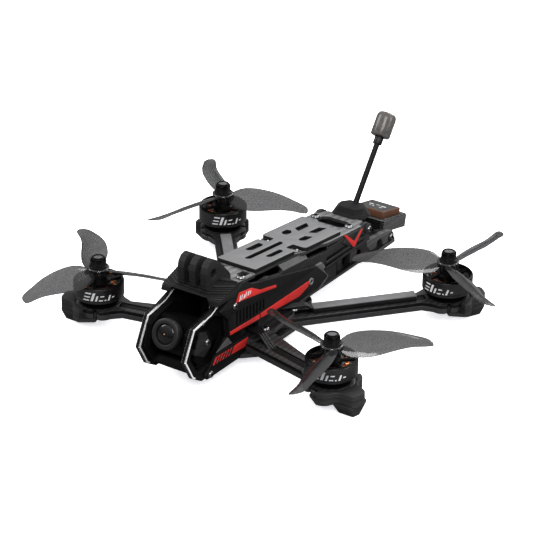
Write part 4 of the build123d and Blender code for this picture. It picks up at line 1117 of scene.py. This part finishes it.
lens.add(lathe([(1.9, 15.8), (1.95, 15.97), (2.15, 15.95), (2.2, 15.8)], 48), 0, TO_LENS)
# painted reflection: a small warm glint disc on the middle of the glass
lens.add(lathe([(0.01, 15.9), (0.5, 15.9), (0.45, 16.12), (0.01, 16.15)], 24, loop=False), 2, TO_LENS)
lens.make("lens", ["lens", "glass", "glint"], "camera", ["camera_lens"], "lens")


# ---- antenna cap and GPS -----------------------------------------------------------------
foot, top = Vector((0, 74.5, 28.5)), Vector((0, 106.4, 72.1))
lean = (top - foot).normalized()
LEAN = Matrix.Translation(top) @ lean.to_track_quat("Z", "Y").to_matrix().to_4x4()
cap = Piece()
cap.add(lathe([(0.01, 0), (4.9, 0), (5.5, 0.3), (5.7, 0.9), (5.75, 11.0), (5.5, 12.6), (4.9, 13.7), (3.9,
        14.3),
               (2.5, 14.5), (0.01, 14.5)], 64, loop=False), 0, LEAN)
cap.add(lathe([(0.01, 1.0), (1.6, 1.0), (1.6, 2.4), (3.9, 3.2), (3.9, 4.2), (1.6, 5.0), (1.6, 8.0), (3.6,
        9.6),
               (3.6, 10.6), (0.01, 11.4)], 32, loop=False), 1, LEAN)
cap.make("cap", ["cap", "label"], "airframe", ["antenna_cap"], "cap")

GPS = Matrix.Translation((0, 105.9, 24.2)) @ Matrix.Rotation(math.radians(-12.5), 4, "X")
gps = Piece()
gps.add(plate([rounded(box(0, 0, 19.5, 19.5), 0.8)], 0, 4.1, 0.25), 0, GPS)
gps.add(plate([rounded(box(0, 0, 17.2, 17.2), 0.6)], 4.05, 4.2, 0.05, 0), 1, GPS)
for k, (x, y, w, d) in enumerate(((-4.6, 0.8, 3.0, 1.1), (-0.6, 1.4, 2.4, 0.8), (3.4, 0.9, 3.2, 1.2), (-3.8,
        -2.4, 1.2, 0.7),
                                  (-1.6, -2.6, 1.6, 0.7), (3.4, -2.4, 2.4, 0.7))):
    gps.add(plate([rounded(box(x, y, w, d), 0.3, 3)], 4.18, 4.26, 0.02, 0), 2, GPS)
gps.make("gps", ["patch", "label", "mark"], "airframe", ["gps_module"], "patch")


# ---- printed tail: mast hood, tray and side brackets ---------------------------------------
tail = Piece()
for k in range(11):
    z0 = 33.6 + LAYER * k
    rise = z0 - 34.0
    half = 9.6 - 0.36 * rise
    front, back = 68.2 + 1.0 * rise, 87.0 - 0.62 * rise
    loop = [(-half, front + 2.5), (-half + 2.2, front), (half - 2.6, front), (half, front + 4.5),
            (half - 0.2, back - 4.0),
            (half - 3.4, back), (-half + 3.4, back), (-half, back - 4.0)]
    tail.add(plate([loop], z0, z0 + LAYER, 0.12), 0)
TRAY = [(-12.2, -11.6), (-11.0, -12.8), (10.4, -12.8), (12.2, -10.8), (12.2, 13.8), (9.6, 17.4), (-9.6, 17.4),
        (-12.2, 13.8)]
TRAY_GAP = [(-8.6, 11.0), (8.6, 11.0), (9.6, 12.4), (7.4, 14.0), (-7.4, 14.0), (-9.6, 12.4)]
for k in range(6):
    z0 = -7.36 + 1.16 * k
    tail.add(plate([rounded(TRAY, 1.4), rounded(TRAY_GAP, 0.9)], z0, z0 + 1.16, 0.2), 1, GPS)
tail.add(plate([rounded([(-11.5, 84.0), (11.5, 84.0), (11.5, 97.0), (-11.5, 97.0)], 1.0)], 15.6, 19.0, 0.3),
         0)
for s in (1, -1):
    for k in range(8):
        y = -9.6 + 3.0 * k
        tooth = [(s * 10.5, y), (s * 12.1, y), (s * 12.1, y + 1.7), (s * 10.5, y + 1.7)]
        tail.add(plate([tooth], -0.6, 0.5, 0.12, 0), 1, GPS)
ARM = [
    (69.0, 24.8), (87.1, 23.2), (93.5, 22.2), (97.0, 21.0), (98.8, 18.0), (97.4, 15.0), (87.6, 14.6), (86.0,
            18.6),
    (83.8, 20.8), (81.0, 20.0), (80.2, 16.9), (74.2, 16.6), (70.0, 20.6),
]
for flip in (False, True):
    tail.add(plate([rounded(ARM, 1.3, 5)], 13.2, 16.4, 0.4), 1, YZ, flip)
    tail.add(plate([rounded([(86.0, 15.6), (93.0, 15.6), (97.0, 21.0), (88.0, 22.6)], 1.0)], 9.0, 13.4,
                   0.3), 0, YZ, flip)
    tail.add(plate([circle(2.9, *TAIL_SCREW, 32), circle(1.95, *TAIL_SCREW, 32)], 16.3, 16.75, 0.15), 0, YZ,
             flip)
# painted shade: the tray's front faces (facing -Y) take the near-black printed plastic
tail.recolour(1, 2, lambda centre, normal: normal.y < -0.6 and 88 < centre.y < 96)
tail.make("tail_block", ["tpu", "tpu_tail", "tpu_dark"], "airframe", ["tail_mount"], "tpu", angle=40)


# ---- camera, light, floor ----------------------------------------------------------------
def look():
    az, el, roll = math.radians(34.005), math.radians(26.934), math.radians(0.673)
    back = Vector((math.sin(az) * math.cos(el), -math.cos(az) * math.cos(el), math.sin(el)))
    right = Vector((math.cos(az), math.sin(az), 0))
    up_axis = back.cross(right)
    r2 = right * math.cos(roll) + up_axis * math.sin(roll)
    u2 = -right * math.sin(roll) + up_axis * math.cos(roll)
    data = bpy.data.cameras.new("camera")
    data.lens, data.sensor_width = 159.66, 36
    data.clip_start, data.clip_end = 0.05, 20
    obj = bpy.data.objects.new("camera", data)
    bpy.context.collection.objects.link(obj)
    rows = Matrix((r2, u2, back)).transposed().to_4x4()
    obj.matrix_world = Matrix.Translation(Vector((667.60, -988.60, 633.38)) * MM) @ rows
    bpy.context.scene.camera = obj


def area(name, where, size, power, target=(0, 0, 0.02)):
    data = bpy.data.lights.new(name, "AREA")
    data.energy, data.size = power, size
    obj = bpy.data.objects.new(name, data)
    bpy.context.collection.objects.link(obj)
    obj.location = where
    obj.rotation_euler = (Vector(where) - Vector(target)).to_track_quat("Z", "Y").to_euler()


def sky():
    """White to the camera, but a graded studio for the reflections: bright overhead, dim at the sides."""
    made = bpy.data.worlds.new("studio")
    made.use_nodes = True
    tree = made.node_tree
    shade = tree.nodes["Background"]
    way = node(tree, "ShaderNodeTexCoord").outputs["Generated"]
    up_part = node(tree, "ShaderNodeSeparateXYZ", {"Vector": way}).outputs["Z"]
    level = ramp(tree, up_part, 0.05, 0.75, 0.16, 1.15)
    seen = node(tree, "ShaderNodeLightPath").outputs["Is Camera Ray"]
    level = node(tree, "ShaderNodeMix", {0: seen, 2: level, 3: 1.05}, data_type="FLOAT").outputs[0]
    shade.inputs["Color"].default_value = (1, 1, 1, 1)
    tree.links.new(level, shade.inputs["Strength"])
    bpy.context.scene.world = made


def stage():
    mesh = bpy.data.meshes.new("floor")
    mesh.from_pydata([(-6, -6, 0), (6, -6, 0), (6, 6, 0), (-6, 6, 0)], [], [[0, 1, 2, 3]])
    obj = bpy.data.objects.new("floor", mesh)
    bpy.context.collection.objects.link(obj)
    obj.location.z = -0.0003
    made, tree, shader, where = start("pale_floor")
    grain = node(tree, "ShaderNodeTexNoise", {"Vector": where, "Scale": 40.0}).outputs["Fac"]
    pale = mix_colour(tree, grain, grey(0.93), grey(0.96))
    seen = node(tree, "ShaderNodeLightPath").outputs["Is Camera Ray"]
    tree.links.new(mix_colour(tree, seen, grey(0.22), pale), shader.inputs["Base Color"])
    tree.links.new(pale, shader.inputs["Emission Color"])
    tree.links.new(math_node(tree, "MULTIPLY", seen, 0.7), shader.inputs["Emission Strength"])
    shader.inputs["Roughness"].default_value = 0.95
    shader.inputs["Specular IOR Level"].default_value = 0.0
    mesh.materials.append(made)


look()
sky()
stage()
area("key", (0.75, -0.95, 1.15), 0.8, 17)
area("fill", (-1.3, -0.5, 0.9), 0.7, 9)
area("rim", (0.2, 1.3, 0.9), 0.9, 12)
area("side", (1.5, 0.35, 0.6), 0.7, 8)

scene = bpy.context.scene
scene.view_settings.view_transform = "Standard"
scene.view_settings.look = "None"
scene.view_settings.gamma = 0.82
